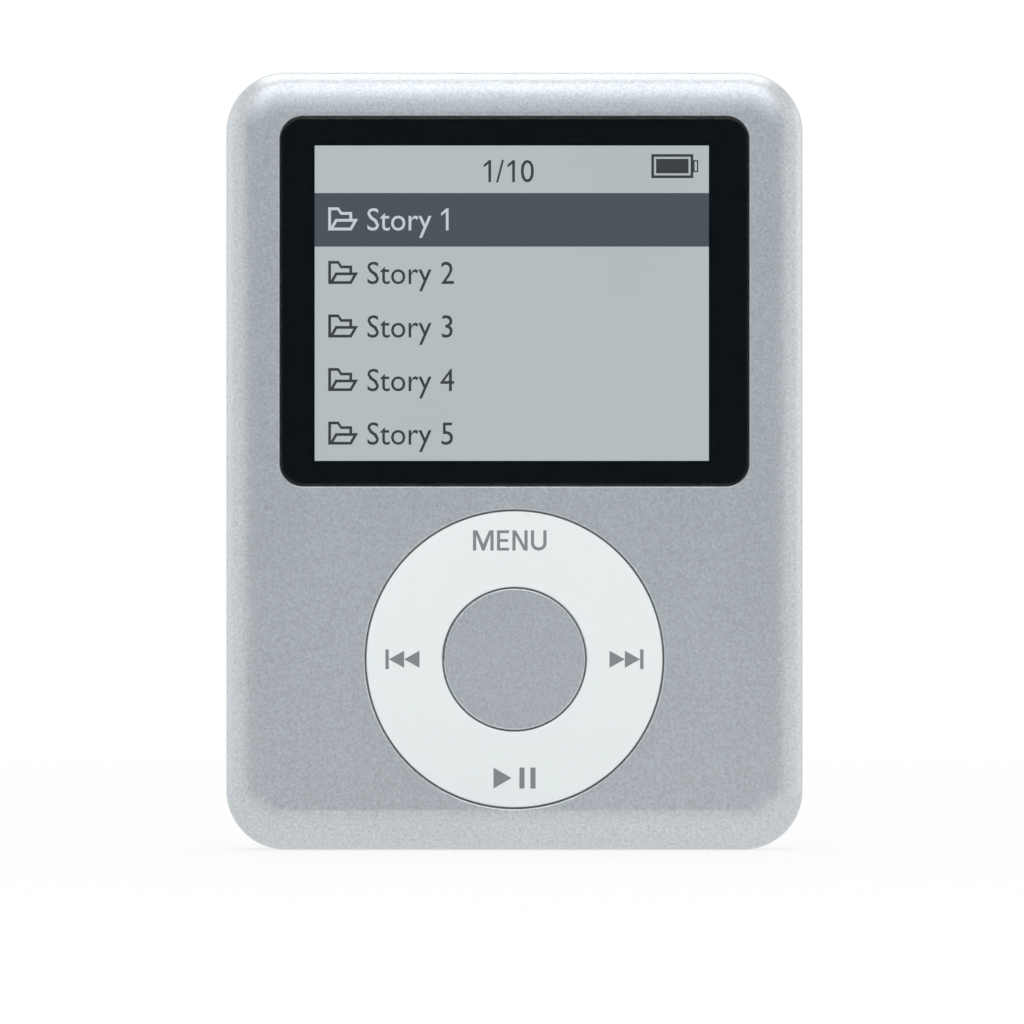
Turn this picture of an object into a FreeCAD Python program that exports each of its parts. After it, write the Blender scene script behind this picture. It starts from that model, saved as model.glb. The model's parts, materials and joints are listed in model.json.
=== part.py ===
# Audio story player: a flat pocket player with a small landscape screen over a round
# control ring. It stands upright on its bottom edge: +X is to the right as the screen
# is read, +Z is up, and the face looks along -Y. The origin is on the floor, under the
# middle of the case. Sizes are in millimetres, and a depth is measured back from the face.
import FreeCAD, Part
import math
import os

from FreeCAD import Vector

# Screen, from the active area of a 1.8-inch landscape panel
screen_width = 35.04
screen_height = 28.03
border_left = 3.03
border_right = 3.51
border_top = 2.54
border_bottom = 2.21

# Control ring and middle button
button_radius = 6.3
button_gap = 0.12
ring_width = 6.74
ring_gap = 0.15
ring_tilt_degrees = 0.9
tilt_gap = 0.1

# Face of the case round the window and the ring
side_margin = 4.86
top_margin = 3.97
waist = 2.26
bottom_margin = 3.82

# Case
corner_radius = 5.3
front_wall = 0.8
rear_wall = 0.6
front_roll_width = 3.6
front_roll_depth = 1.8
rear_roll_width = 3.0
rear_roll_depth = 1.8
seam_depth = 5.2
seam_gap = 0.06
roll_steps = 6
edge_break = 0.12

# Window
window_corner = 2.0
window_gap = 0.06
lens_set_back = 0.05
lens_thickness = 1.0
border_film_thickness = 0.05
border_film_margin = 0.1
gasket_thickness = 0.25
gasket_width = 0.9
gasket_from_screen = 0.5

# Display module
glass_thickness = 0.4
polariser_thickness = 0.13
polariser_margin = 0.3
panel_margin = 1.5
ledge_height = 0.9
module_wall = 0.35
module_fit = 0.05
module_front_step = 0.05
ledge_thickness = 0.1
guide_thickness = 0.6
guide_inset = 0.7
reflector_thickness = 0.06
back_plate_thickness = 0.2
led_count = 3
led_width = 3.0
led_height = 0.6
led_depth = 0.5
led_pitch = 9.0

# Display ribbon
ribbon_width = 12.0
ribbon_thickness = 0.12
ribbon_bend = 0.35
ribbon_slot_gap = 0.2

# Inner frame
frame_fit = 0.25
frame_floor = 0.5
frame_bottom_wall = 0.7
frame_corner_radius = 4.2
pocket_fit = 0.08
lens_seat_gap = 0.05
rail_width = 0.85

# Main board
board_thickness = 0.8
board_fit = 0.55
board_edge_gap = 0.3
board_corner_radius = 3.9
solder_gap = 0.02

# Ring mechanism
flange_overhang = 0.64
flange_thickness = 0.3
cap_shell = 0.95
cap_rounding = 0.15
groove_margin = 0.6
button_flange_overhang = 0.8
button_flange_thickness = 0.3
button_rim = 1.3
washer_gap = 0.3
washer_width = 1.3
washer_thickness = 0.15
fulcrum_radius = 0.5
fulcrum_play = 0.03
stud_radius = 0.4
stud_length = 0.87
nub_radius = 0.9
nub_play = 0.03
dome_radius = 2.0
dome_height = 0.32
dome_thickness = 0.1
dome_gap = 0.15

# Screws
screw_radius = 0.7
screw_fit = 0.02
screw_hole_gap = 0.1
screw_head_radius = 1.2
screw_head_thickness = 0.5
screw_socket_radius = 0.45
screw_socket_depth = 0.3
boss_radius = 1.3
boss_gap = 0.1
screw_tip_gap = 0.1
boss_floor = 0.2
frame_ear_thickness = 0.7
frame_screw_inset = 2.75
frame_screw_from_pocket = 2.3
board_screw_inset = 3.25
board_screw_low = 6.0
board_screw_from_top = 3.5

# Snap tabs of the rear cover
tab_thickness = 0.5
tab_clearance = 0.08
tab_length = 5.0
tab_reach = 1.3
tab_root = 0.8
nib_height = 0.23
nib_depth = 0.4
nib_from_tip = 0.2
nib_slot_gap = 0.08
top_tab_offset = 12.0
side_tab_low = 15.0
side_tab_high_from_top = 11.15
side_tab_middle_from_top = 28.15

# Headphone socket, for a 3.5 mm plug
jack_bore_radius = 1.8
jack_bore_length = 14.2
jack_width = 6.0
jack_depth = 5.0
jack_end_wall = 0.55
jack_collar_radius = 2.4
jack_from_side = 8.25
jack_middle_depth = 4.1
port_gap = 0.1
port_set_back = 0.05
contact_thickness = 0.2
contact_width = 1.6
contact_foot = 1.0
contact_heights = (3.0, 9.0, 12.0)

# Charging socket, micro size
usb_width = 7.5
usb_height = 2.45
usb_length = 5.6
usb_wall = 0.25
usb_corner = 0.6
usb_set_back = 0.3
usb_opening_gap = 0.22
tongue_width = 3.9
tongue_thickness = 0.6
tongue_set_back = 0.6
tongue_base_length = 1.4
pin_count = 5
pin_pitch = 0.65
pin_width = 0.3
pin_thickness = 0.1
pin_length = 3.0

# Slide switch
switch_from_side = 9.65
switch_width = 8.0
switch_length = 3.2
switch_set_in = 0.3
switch_base_thickness = 0.4
switch_cover_height = 1.3
switch_cover_wall = 0.2
switch_travel = 2.0
slider_width = 3.4
slider_gap = 0.08
stem_width = 1.6
stem_depth = 0.7
knob_width = 3.0
knob_depth = 1.2
knob_set_back = 0.2
knob_end_gap = 0.12
knob_groove_count = 3
knob_groove = 0.2
knob_groove_pitch = 0.7
knob_opening_gap = 0.2

# Battery
battery_width = 34.0
battery_height = 30.0
battery_thickness = 3.0
battery_above_frame = 2.4
battery_rounding = 0.9
battery_tape_thickness = 0.1
battery_tape_inset = 5.0
foam_thickness = 0.52
foam_inset = 6.0
foam_gap = 0.02
guard_board_width = 22.0
guard_board_height = 1.2
guard_board_thickness = 0.6
guard_board_gap = 0.1
lead_radius = 0.4
lead_bend = 2.5
lead_spacing = 1.4
lead_from_ribbon = 2.2
lead_start = 0.5
lead_end = 1.5

# Parts on the back of the main board
connector_width = 13.4
connector_height = 3.2
connector_depth = 1.0
connector_from_edge = 1.1
connector_mouth = 1.2
processor_side = 9.0
processor_thickness = 0.9
processor_left = 8.5
processor_above_ring = 3.5
memory_width = 12.0
memory_height = 18.4
memory_thickness = 1.1
memory_right = 8.6
charger_side = 3.0
charger_thickness = 0.8
charger_left = 3.0
charger_below_ring = 6.0
inductor_side = 3.2
inductor_thickness = 1.4
crystal_width = 5.0
crystal_height = 1.8
crystal_thickness = 1.2
crystal_gap = 1.0
crystal_from_top = 6.0
capacitor_width = 1.0
capacitor_height = 0.5
capacitor_thickness = 0.5
capacitor_pitch = 1.8
capacitors_per_row = 5
capacitor_row_gap = 1.0

# Places worked out from the sizes above
window_width = border_left + screen_width + border_right
window_height = border_bottom + screen_height + border_top
ring_radius = button_radius + button_gap + ring_width
body_width = window_width + 2 * side_margin
body_height = bottom_margin + 2 * ring_radius + waist + window_height + top_margin
half_width = body_width / 2
ring_z = bottom_margin + ring_radius
window_z = ring_z + ring_radius + waist + window_height / 2
screen_x = border_left - window_width / 2 + screen_width / 2
screen_z = window_z - window_height / 2 + border_bottom + screen_height / 2

# Radii about the ring's axis, and how steeply it leans when it is pushed both ways
tilt_slope = math.sin(math.radians(math.sqrt(2) * ring_tilt_degrees))
ring_bore_radius = button_radius + button_gap
flange_radius = ring_radius + flange_overhang
button_flange_radius = button_radius + button_flange_overhang
washer_inner_radius = button_flange_radius + washer_gap
washer_outer_radius = washer_inner_radius + washer_width
fulcrum_circle = washer_inner_radius + washer_width / 2
key_circle = fulcrum_circle + stud_radius + dome_gap + dome_radius
key_places = [
    (0, ring_z + key_circle),
    (key_circle, ring_z),
    (0, ring_z - key_circle),
    (-key_circle, ring_z),
]

# Depths behind the face, front to back
lens_back = lens_set_back + lens_thickness
film_back = lens_back + border_film_thickness
panel_front = film_back + gasket_thickness
panel_middle = panel_front + glass_thickness
panel_back = panel_middle + glass_thickness
module_front = panel_front + module_front_step
guide_front = panel_back + ledge_thickness + module_fit
guide_back = guide_front + guide_thickness
reflector_back = guide_back + reflector_thickness
plate_front = reflector_back + module_fit
plate_back = plate_front + back_plate_thickness
frame_floor_front = plate_back + module_fit
frame_back = frame_floor_front + frame_floor
battery_front = frame_back + battery_tape_thickness
battery_back = battery_front + battery_thickness
foam_back = battery_back + foam_thickness
body_depth = foam_back + foam_gap + rear_wall
cap_back = front_wall + flange_radius * tilt_slope + tilt_gap + flange_thickness
cap_inside = lens_set_back + cap_shell
fulcrum_tip = cap_back + washer_outer_radius * tilt_slope
washer_front = fulcrum_tip + fulcrum_play
button_flange_front = cap_back + button_flange_radius * tilt_slope + tilt_gap
washer_back = washer_front + washer_thickness
board_front = washer_back + fulcrum_play + stud_length
board_back = board_front + board_thickness
nub_end = board_front - dome_height - nub_play
part_seat = board_back + solder_gap
usb_middle_depth = part_seat + usb_height / 2

# Edges of the display module and of the pieces under it
module_margin = panel_margin + module_fit + module_wall
module_width = screen_width + 2 * module_margin
module_height = screen_height + 2 * module_margin
module_bottom = screen_z - module_height / 2
frame_bottom = module_bottom - pocket_fit - frame_bottom_wall
frame_top = body_height - front_wall - frame_fit
frame_width = body_width - 2 * (front_wall + frame_fit)
board_top = frame_bottom - board_edge_gap
board_bottom = front_wall + board_edge_gap
jack_x = jack_from_side - half_width
switch_x = half_width - switch_from_side
frame_screw_x = half_width - frame_screw_inset
board_screw_x = half_width - board_screw_inset
frame_screw_places = []
for screw_z in (
    frame_bottom + boss_radius + frame_screw_from_pocket,
    frame_top - frame_corner_radius - boss_radius,
):
    frame_screw_places.append((-frame_screw_x, screw_z))
    frame_screw_places.append((frame_screw_x, screw_z))
board_screw_places = []
for screw_z in (board_screw_low, board_top - board_screw_from_top):
    board_screw_places.append((-board_screw_x, screw_z))
    board_screw_places.append((board_screw_x, screw_z))
board_width = body_width - 2 * (front_wall + board_fit)
processor_place = (-processor_left, ring_z + processor_above_ring)
memory_place = (memory_right, ring_z)
charger_place = (-charger_left, ring_z - charger_below_ring)
inductor_place = (-processor_left, ring_z - charger_below_ring)
crystal_x = processor_place[0] - processor_side / 2 - crystal_gap - crystal_width / 2
crystal_place = (crystal_x, board_top - crystal_from_top)
left_tab_x = (jack_x + jack_width / 2 - usb_width / 2) / 2
right_tab_x = (usb_width / 2 + switch_x - switch_width / 2) / 2


def across(depth):
    """The y of the plane that lies this far behind the face."""
    return depth - body_depth / 2


def block(x_low, x_high, near, far, z_low, z_high):
    """A box between two depths."""
    corner = Vector(x_low, across(near), z_low)
    return Part.makeBox(x_high - x_low, far - near, z_high - z_low, corner)


def slab(width, height, near, far, x, z):
    """A box about a middle point, between two depths."""
    return block(x - width / 2, x + width / 2, near, far, z - height / 2, z + height / 2)


def disc(radius, near, far, x, z):
    """A round post between two depths, on an axis that points at the viewer."""
    return Part.makeCylinder(radius, far - near, Vector(x, across(near), z), Vector(0, 1, 0))


def washer(outer, inner, near, far, x, z):
    """A flat ring between two depths."""
    return disc(outer, near, far, x, z).cut(disc(inner, near, far, x, z))


def outline(width, height, radius, depth, x, z):
    """A rectangle with round corners, as a closed wire at one depth."""
    reach_x = width / 2 - radius
    reach_z = height / 2 - radius
    turns = [(reach_x, reach_z), (-reach_x, reach_z), (-reach_x, -reach_z), (reach_x, -reach_z)]
    arcs = []
    for quarter, (offset_x, offset_z) in enumerate(turns):
        points = []
        for part_turn in (0, 45, 90):
            angle = math.radians(90 * quarter + part_turn)
            arc_x = x + offset_x + radius * math.cos(angle)
            arc_z = z + offset_z + radius * math.sin(angle)
            points.append(Vector(arc_x, across(depth), arc_z))
        arcs.append(points)
    edges = []
    for index, points in enumerate(arcs):
        following = arcs[(index + 1) % len(arcs)]
        edges.append(Part.Arc(*points).toShape())
        edges.append(Part.LineSegment(points[-1], following[0]).toShape())
    return Part.Wire(edges)


def rounded(width, height, radius, near, far, x, z):
    """A plate with round corners between two depths."""
    face = Part.Face(outline(width, height, radius, near, x, z))
    return face.extrude(Vector(0, far - near, 0))


def soft_roll(inset, edge_depth, roll_width, roll_depth, facing):
    """One rolled edge of the case: outlines that grow along a quarter ellipse, lofted.

    inset is how far in from the outside of the case the surface lies at its widest,
    edge_depth is the depth of its flat, and facing is 1 at the front and -1 at the back.
    """
    sections = []
    for step in range(roll_steps + 1):
        angle = math.radians(90 * step / roll_steps)
        narrower = inset + roll_width * (1 - math.sin(angle))
        depth = edge_depth + facing * roll_depth * (1 - math.cos(angle))
        sections.append(
            outline(
                body_width - 2 * narrower,
                body_height - 2 * narrower,
                corner_radius - narrower,
                depth,
                0,
                body_height / 2,
            )
        )
    return Part.makeLoft(sections, True, False)


def tray(inset, flat_depth, roll_width, roll_depth, open_depth, facing):
    """A rolled edge with the straight wall behind it, out to an open side."""
    roll = soft_roll(inset, flat_depth, roll_width, roll_depth, facing)
    roll_end = flat_depth + facing * roll_depth
    wall = rounded(
        body_width - 2 * inset,
        body_height - 2 * inset,
        corner_radius - inset,
        min(roll_end, open_depth),
        max(roll_end, open_depth),
        0,
        body_height / 2,
    )
    return roll.fuse(wall).removeSplitter()


def edge_block(side, outer, inner, near, far, middle, length):
    """A box along one side of the case. outer and inner are distances in from the outside."""
    low = middle - length / 2
    high = middle + length / 2
    if side == "right":
        return block(half_width - inner, half_width - outer, near, far, low, high)
    if side == "left":
        return block(outer - half_width, inner - half_width, near, far, low, high)
    if side == "top":
        return block(low, high, near, far, body_height - inner, body_height - outer)
    return block(low, high, near, far, outer, inner)


def upright_block(width, depth, corner, x, middle_depth, z_low, z_high):
    """A box with its four upright edges rounded."""
    solid = block(
        x - width / 2,
        x + width / 2,
        middle_depth - depth / 2,
        middle_depth + depth / 2,
        z_low,
        z_high,
    )
    upright = []
    for edge in solid.Edges:
        if edge.BoundBox.ZLength > (z_high - z_low) / 2:
            upright.append(edge)
    return solid.makeFillet(corner, upright)


def post(radius, x, depth, z_low, z_high):
    """A round post that stands along Z."""
    return Part.makeCylinder(radius, z_high - z_low, Vector(x, across(depth), z_low))


def round_edges(solid, radius, depth, size):
    """Round the circular edges of one radius that lie at one depth."""
    picked = []
    for edge in solid.Edges:
        centre_y = edge.BoundBox.Center.y
        is_circle = isinstance(edge.Curve, Part.Circle)
        if is_circle and abs(centre_y - across(depth)) < 1e-4 and abs(edge.Curve.Radius - radius) < 1e-4:
            picked.append(edge)
    return solid.makeFillet(size, picked)


def join(solids):
    """Fuse touching solids into one."""
    return solids[0].multiFuse(solids[1:]).removeSplitter()


def tab_places():
    """The side of the case that each snap tab is on, and its place along that side."""
    places = []
    side_heights = (
        side_tab_low,
        body_height - side_tab_middle_from_top,
        body_height - side_tab_high_from_top,
    )
    for height in side_heights:
        places.append(("left", height))
        places.append(("right", height))
    places.append(("top", -top_tab_offset))
    places.append(("top", top_tab_offset))
    places.append(("bottom", left_tab_x))
    places.append(("bottom", right_tab_x))
    return places


def port_cutters():
    """The openings in the bottom wall for the two sockets and the switch."""
    wall = front_wall + board_edge_gap
    jack = post(jack_collar_radius + port_gap, jack_x, jack_middle_depth, -1, wall)
    usb = upright_block(
        usb_width + 2 * usb_opening_gap,
        usb_height + 2 * usb_opening_gap,
        usb_corner + usb_opening_gap,
        0,
        usb_middle_depth,
        -1,
        wall,
    )
    knob = upright_block(
        knob_width + switch_travel + 2 * knob_opening_gap,
        knob_depth + 2 * knob_opening_gap,
        knob_depth / 2,
        switch_x,
        switch_middle_depth(),
        -1,
        wall,
    )
    return [jack, usb, knob]


def switch_middle_depth():
    """The depth of the middle of the slide switch, where its knob runs."""
    return part_seat + switch_base_thickness + switch_cover_height / 2


def boss(x, z, top):
    """A screw boss on the inside of the front shell, with its pilot hole."""
    solid = disc(boss_radius, front_wall / 2, top, x, z)
    return solid.cut(disc(screw_radius + screw_fit, front_wall + boss_floor, top, x, z))


def frame_boss_top():
    """The depth at which the inner frame's ears rest on their bosses."""
    return frame_floor_front - frame_ear_thickness


def make_front_shell():
    """The silver front tray: face, rolled edge and side walls, with its screw bosses."""
    shell = tray(0, 0, front_roll_width, front_roll_depth, seam_depth, 1)
    hollow = tray(
        front_wall,
        front_wall,
        front_roll_width - front_wall,
        front_roll_depth - front_wall,
        seam_depth + seam_gap,
        1,
    )
    shell = shell.cut(hollow)
    window = rounded(
        window_width + 2 * window_gap,
        window_height + 2 * window_gap,
        window_corner + window_gap,
        -1,
        2 * front_wall,
        0,
        window_z,
    )
    ring_hole = disc(ring_radius + ring_gap, -1, 2 * front_wall, 0, ring_z)
    shell = shell.cut(window).cut(ring_hole)
    shell = break_face_edges(shell)
    for x, z in frame_screw_places:
        shell = shell.fuse(boss(x, z, frame_boss_top()))
    for x, z in board_screw_places:
        shell = shell.fuse(boss(x, z, board_front))
    for cutter in port_cutters():
        shell = shell.cut(cutter)
    nib_near = seam_depth - tab_reach + nib_from_tip
    for side, place in tab_places():
        shell = shell.cut(
            edge_block(
                side,
                front_wall + tab_clearance - nib_height - nib_slot_gap,
                front_wall + tab_thickness,
                nib_near - nib_slot_gap,
                nib_near + nib_depth + nib_slot_gap,
                place,
                tab_length + 2 * nib_slot_gap,
            )
        )
    return shell.removeSplitter()


def within(box, z, reach_x, reach_z):
    """Does an edge's box lie inside a rectangle about the case's middle line?"""
    slack = edge_break / 2
    wide_enough = max(-box.XMin, box.XMax) < reach_x + slack
    return wide_enough and max(z - box.ZMin, box.ZMax - z) < reach_z + slack


def break_face_edges(shell):
    """Take the sharp edge off the window and the ring's hole, on the face."""
    hole_radius = ring_radius + ring_gap
    picked = []
    for edge in shell.Edges:
        box = edge.BoundBox
        if abs(box.YMax - across(0)) > edge_break / 2:
            continue
        in_window = within(box, window_z, window_width / 2 + window_gap, window_height / 2 + window_gap)
        if in_window or within(box, ring_z, hole_radius, hole_radius):
            picked.append(edge)
    return shell.makeChamfer(edge_break, picked)


def make_rear_cover():
    """The polished back: a shallow tray with snap tabs that spring into the front shell."""
    cover = tray(0, body_depth, rear_roll_width, rear_roll_depth, seam_depth + seam_gap, -1)
    hollow = tray(
        rear_wall,
        body_depth - rear_wall,
        rear_roll_width - rear_wall,
        rear_roll_depth - rear_wall,
        seam_depth,
        -1,
    )
    cover = cover.cut(hollow)
    tab_outer = front_wall + tab_clearance
    tab_inner = tab_outer + tab_thickness
    nib_near = seam_depth - tab_reach + nib_from_tip
    for side, place in tab_places():
        blade = edge_block(
            side, tab_outer, tab_inner, seam_depth - tab_reach, seam_depth + tab_root, place, tab_length
        )
        root_near = seam_depth + 2 * seam_gap
        root = edge_block(
            side, rear_wall / 2, tab_inner, root_near, seam_depth + tab_root, place, tab_length
        )
        nib = edge_block(
            side, tab_outer - nib_height, tab_inner, nib_near, nib_near + nib_depth, place, tab_length
        )
        cover = cover.fuse([blade, root, nib])
    for cutter in port_cutters():
        cover = cover.cut(cutter)
    return cover.removeSplitter()


def make_window_lens():
    """The clear window that lies flush in the face."""
    lens = rounded(window_width, window_height, window_corner, lens_set_back, lens_back, 0, window_z)
    front_edges = []
    for edge in lens.Edges:
        if edge.BoundBox.YMax < across(lens_set_back) + 1e-4:
            front_edges.append(edge)
    return lens.makeChamfer(edge_break, front_edges)


def make_lens_border_film():
    """The black printed film behind the window, open over the screen."""
    film = rounded(
        window_width - 2 * border_film_margin,
        window_height - 2 * border_film_margin,
        window_corner - border_film_margin,
        lens_back,
        film_back,
        0,
        window_z,
    )
    return film.cut(slab(screen_width, screen_height, lens_back, film_back, screen_x, screen_z))


def screen_frame(from_screen, wide, near, far):
    """A frame round the screen: its inner edge is from_screen outside the active area."""
    inner_width = screen_width + 2 * from_screen
    inner_height = screen_height + 2 * from_screen
    outer = slab(inner_width + 2 * wide, inner_height + 2 * wide, near, far, screen_x, screen_z)
    return outer.cut(slab(inner_width, inner_height, near, far, screen_x, screen_z))


def make_lens_gasket():
    """The sticky foam frame that holds the window to the display and keeps dust out."""
    return screen_frame(gasket_from_screen, gasket_width, film_back, panel_front)


def make_lcd_panel():
    """The display glass: two plates, the rear one longer at the foot for the ribbon's bond."""
    width = screen_width + 2 * panel_margin
    height = screen_height + 2 * panel_margin
    rear = slab(width, height, panel_middle, panel_back, screen_x, screen_z)
    front = block(
        screen_x - width / 2,
        screen_x + width / 2,
        panel_front,
        panel_middle,
        screen_z - height / 2 + ledge_height,
        screen_z + height / 2,
    )
    return join([front, rear])


def make_lcd_polariser():
    """The matt film on the front of the glass, on which the picture shows."""
    width = screen_width + 2 * polariser_margin
    height = screen_height + 2 * polariser_margin
    return slab(width, height, panel_front - polariser_thickness, panel_front, screen_x, screen_z)


def make_lcd_backlight_frame():
    """The white plastic frame that holds the glass, the light guide and the lamps."""
    solid = slab(module_width, module_height, module_front, plate_front, screen_x, screen_z)
    panel_room = slab(
        screen_width + 2 * (panel_margin + module_fit),
        screen_height + 2 * (panel_margin + module_fit),
        module_front,
        panel_back,
        screen_x,
        screen_z,
    )
    light_room = slab(
        screen_width + 2 * guide_inset,
        screen_height + 2 * guide_inset,
        panel_back,
        guide_front,
        screen_x,
        screen_z,
    )
    guide_room = block(
        screen_x - screen_width / 2 - guide_inset,
        screen_x + screen_width / 2 + guide_inset,
        guide_front - module_fit,
        plate_front,
        screen_z - screen_height / 2 - panel_margin,
        screen_z + screen_height / 2 + guide_inset,
    )
    ribbon_notch = block(
        screen_x - ribbon_width / 2 - ribbon_slot_gap,
        screen_x + ribbon_width / 2 + ribbon_slot_gap,
        module_front,
        panel_middle + ribbon_slot_gap,
        module_bottom,
        module_bottom + 2 * module_wall,
    )
    return solid.cut([panel_room, light_room, guide_room, ribbon_notch]).removeSplitter()


def make_light_guide():
    """The clear plate that spreads the lamps' light behind the glass."""
    width = screen_width + 2 * (guide_inset - module_fit)
    height = screen_height + 2 * (guide_inset - module_fit)
    return slab(width, height, guide_front, guide_back, screen_x, screen_z)


def make_backlight_reflector():
    """The white sheet behind the light guide."""
    width = screen_width + 2 * (guide_inset - module_fit)
    height = screen_height + 2 * (guide_inset - module_fit)
    return slab(width, height, guide_back, reflector_back, screen_x, screen_z)


def make_backlight_lamps():
    """The row of small white lamps along the foot of the light guide."""
    guide_bottom = screen_z - screen_height / 2 - guide_inset + module_fit
    lamp_z = guide_bottom - module_fit - led_height / 2
    middle_depth = (guide_front + guide_back) / 2
    lamps = []
    for index in range(led_count):
        lamp_x = screen_x + (index - (led_count - 1) / 2) * led_pitch
        near = middle_depth - led_depth / 2
        lamps.append(slab(led_width, led_height, near, near + led_depth, lamp_x, lamp_z))
    return Part.makeCompound(lamps)


def make_lcd_back_plate():
    """The thin steel plate that closes the back of the display module."""
    return slab(module_width, module_height, plate_front, plate_back, screen_x, screen_z)


def ribbon_middle_depth():
    """The depth of the middle of the ribbon where it enters its socket on the board."""
    return part_seat + connector_depth / 2


def ribbon_outline(offset):
    """One side of the ribbon's path from the glass to the board, as points and arc points."""
    start_depth = panel_middle - ribbon_thickness / 2
    fold_z = frame_bottom + frame_bottom_wall / 2
    end_depth = ribbon_middle_depth()
    start_z = screen_z - screen_height / 2 - panel_margin + ledge_height - module_fit
    end_z = board_top - connector_from_edge - connector_mouth
    first = ribbon_bend - offset
    second = ribbon_bend + offset
    first_centre = (start_depth + ribbon_bend, fold_z + ribbon_bend)
    second_centre = (end_depth - ribbon_bend, fold_z - ribbon_bend)
    mid = math.sqrt(0.5)
    return [
        (start_depth + offset, start_z),
        (first_centre[0] - first, first_centre[1]),
        (first_centre[0] - first * mid, first_centre[1] - first * mid),
        (first_centre[0], first_centre[1] - first),
        (second_centre[0], second_centre[1] + second),
        (second_centre[0] + second * mid, second_centre[1] + second * mid),
        (second_centre[0] + second, second_centre[1]),
        (end_depth + offset, end_z),
    ]


def make_lcd_ribbon():
    """The flat ribbon that folds from the glass over the board's edge to its socket."""
    x_low = screen_x - ribbon_width / 2

    def spot(pair):
        return Vector(x_low, across(pair[0]), pair[1])

    edges = []
    ends = []
    for offset in (-ribbon_thickness / 2, ribbon_thickness / 2):
        path = [spot(pair) for pair in ribbon_outline(offset)]
        edges.append(Part.LineSegment(path[0], path[1]).toShape())
        edges.append(Part.Arc(path[1], path[2], path[3]).toShape())
        edges.append(Part.LineSegment(path[3], path[4]).toShape())
        edges.append(Part.Arc(path[4], path[5], path[6]).toShape())
        edges.append(Part.LineSegment(path[6], path[7]).toShape())
        ends.append((path[0], path[7]))
    for near_end, far_end in zip(*ends):
        edges.append(Part.LineSegment(near_end, far_end).toShape())
    face = Part.Face(Part.Wire(Part.__sortEdges__(edges)))
    return face.extrude(Vector(ribbon_width, 0, 0))


def make_inner_frame():
    """The black plastic frame that carries the display, window and battery."""
    outer_z = (frame_bottom + frame_top) / 2
    base_near = front_roll_depth + frame_fit / 2
    base = rounded(
        frame_width, frame_top - frame_bottom, frame_corner_radius, base_near, frame_back, 0, outer_z
    )
    foot = block(
        -frame_width / 2, frame_width / 2, base_near, frame_back, frame_bottom, outer_z
    )
    seat_near = film_back + lens_seat_gap
    seat = rounded(window_width, window_height, window_corner, seat_near, frame_back, 0, window_z)
    solids = [base, foot, seat]
    for side in (-1, 1):
        rail_x = side * (window_width / 2 + window_gap + rail_width / 2)
        rail_height = window_height - 2 * window_corner
        solids.append(slab(rail_width, rail_height, front_wall, frame_back, rail_x, window_z))
    frame = join(solids)
    frame = frame.cut(
        rounded(
            window_width + 2 * window_gap,
            window_height + 2 * window_gap,
            window_corner + window_gap,
            0,
            seat_near,
            0,
            window_z,
        )
    )
    pocket = slab(
        module_width + 2 * pocket_fit,
        module_height + 2 * pocket_fit,
        0,
        frame_floor_front,
        screen_x,
        screen_z,
    )
    slot = block(
        screen_x - ribbon_width / 2 - ribbon_slot_gap,
        screen_x + ribbon_width / 2 + ribbon_slot_gap,
        0,
        body_depth,
        frame_bottom - 1,
        module_bottom + pocket_fit,
    )
    frame = frame.cut([pocket, slot])
    for x, z in frame_screw_places:
        frame = frame.cut(disc(boss_radius + boss_gap, 0, frame_boss_top(), x, z))
        frame = frame.cut(disc(screw_radius + screw_hole_gap, 0, body_depth, x, z))
        frame = frame.cut(disc(screw_head_radius + boss_gap, frame_floor_front, body_depth, x, z))
    return frame.removeSplitter()


def make_control_ring():
    """The white ring: a cap with a hidden flange, four key nubs and two fulcrum bumps."""
    cap = disc(ring_radius, lens_set_back, cap_back, 0, ring_z)
    flange = disc(flange_radius, cap_back - flange_thickness, cap_back, 0, ring_z)
    ring = join([cap, flange])
    ring = ring.cut(disc(ring_bore_radius, 0, body_depth, 0, ring_z))
    ring = round_edges(ring, ring_radius, lens_set_back, cap_rounding)
    ring = round_edges(ring, ring_bore_radius, lens_set_back, cap_rounding)
    groove_inner = washer_outer_radius + groove_margin
    groove_outer = ring_radius - 2 * groove_margin
    ring = ring.cut(washer(groove_outer, groove_inner, cap_inside, cap_back, 0, ring_z))
    solids = [ring]
    for x, z in key_places:
        solids.append(disc(nub_radius, cap_inside - cap_rounding, nub_end, x, z))
    for z in (ring_z - fulcrum_circle, ring_z + fulcrum_circle):
        solids.append(disc(fulcrum_radius, cap_inside, fulcrum_tip, 0, z))
    return join(solids)


def make_center_button():
    """The silver button inside the ring, with its flange and the nub that presses its dome."""
    flange_far = button_flange_front + button_flange_thickness
    button = disc(button_radius, lens_set_back, flange_far, 0, ring_z)
    button = round_edges(button, button_radius, lens_set_back, cap_rounding)
    flange = disc(button_flange_radius, button_flange_front, flange_far, 0, ring_z)
    button = join([button, flange])
    button = button.cut(disc(button_radius - button_rim, cap_inside, body_depth, 0, ring_z))
    return join([button, disc(nub_radius, cap_inside - cap_rounding, nub_end, 0, ring_z)])


def make_rocker_washer():
    """The steel washer that the ring rocks on, up and down or left and right."""
    return washer(washer_outer_radius, washer_inner_radius, washer_front, washer_back, 0, ring_z)


def make_fulcrum_studs():
    """Two studs on the board, under the washer at its left and right."""
    studs = []
    for side in (-1, 1):
        stud_x = side * fulcrum_circle
        studs.append(disc(stud_radius, washer_back + fulcrum_play, board_front, stud_x, ring_z))
    return Part.makeCompound(studs)


def snap_dome(x, z):
    """One sprung metal dome: a thin cap that lies on the board."""
    ball_radius = (dome_radius**2 + dome_height**2) / (2 * dome_height)
    centre = Vector(x, across(board_front - dome_height + ball_radius), z)
    shell = Part.makeSphere(ball_radius, centre).cut(Part.makeSphere(ball_radius - dome_thickness, centre))
    return shell.common(disc(dome_radius, board_front - dome_height - nub_play, board_front, x, z))


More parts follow.
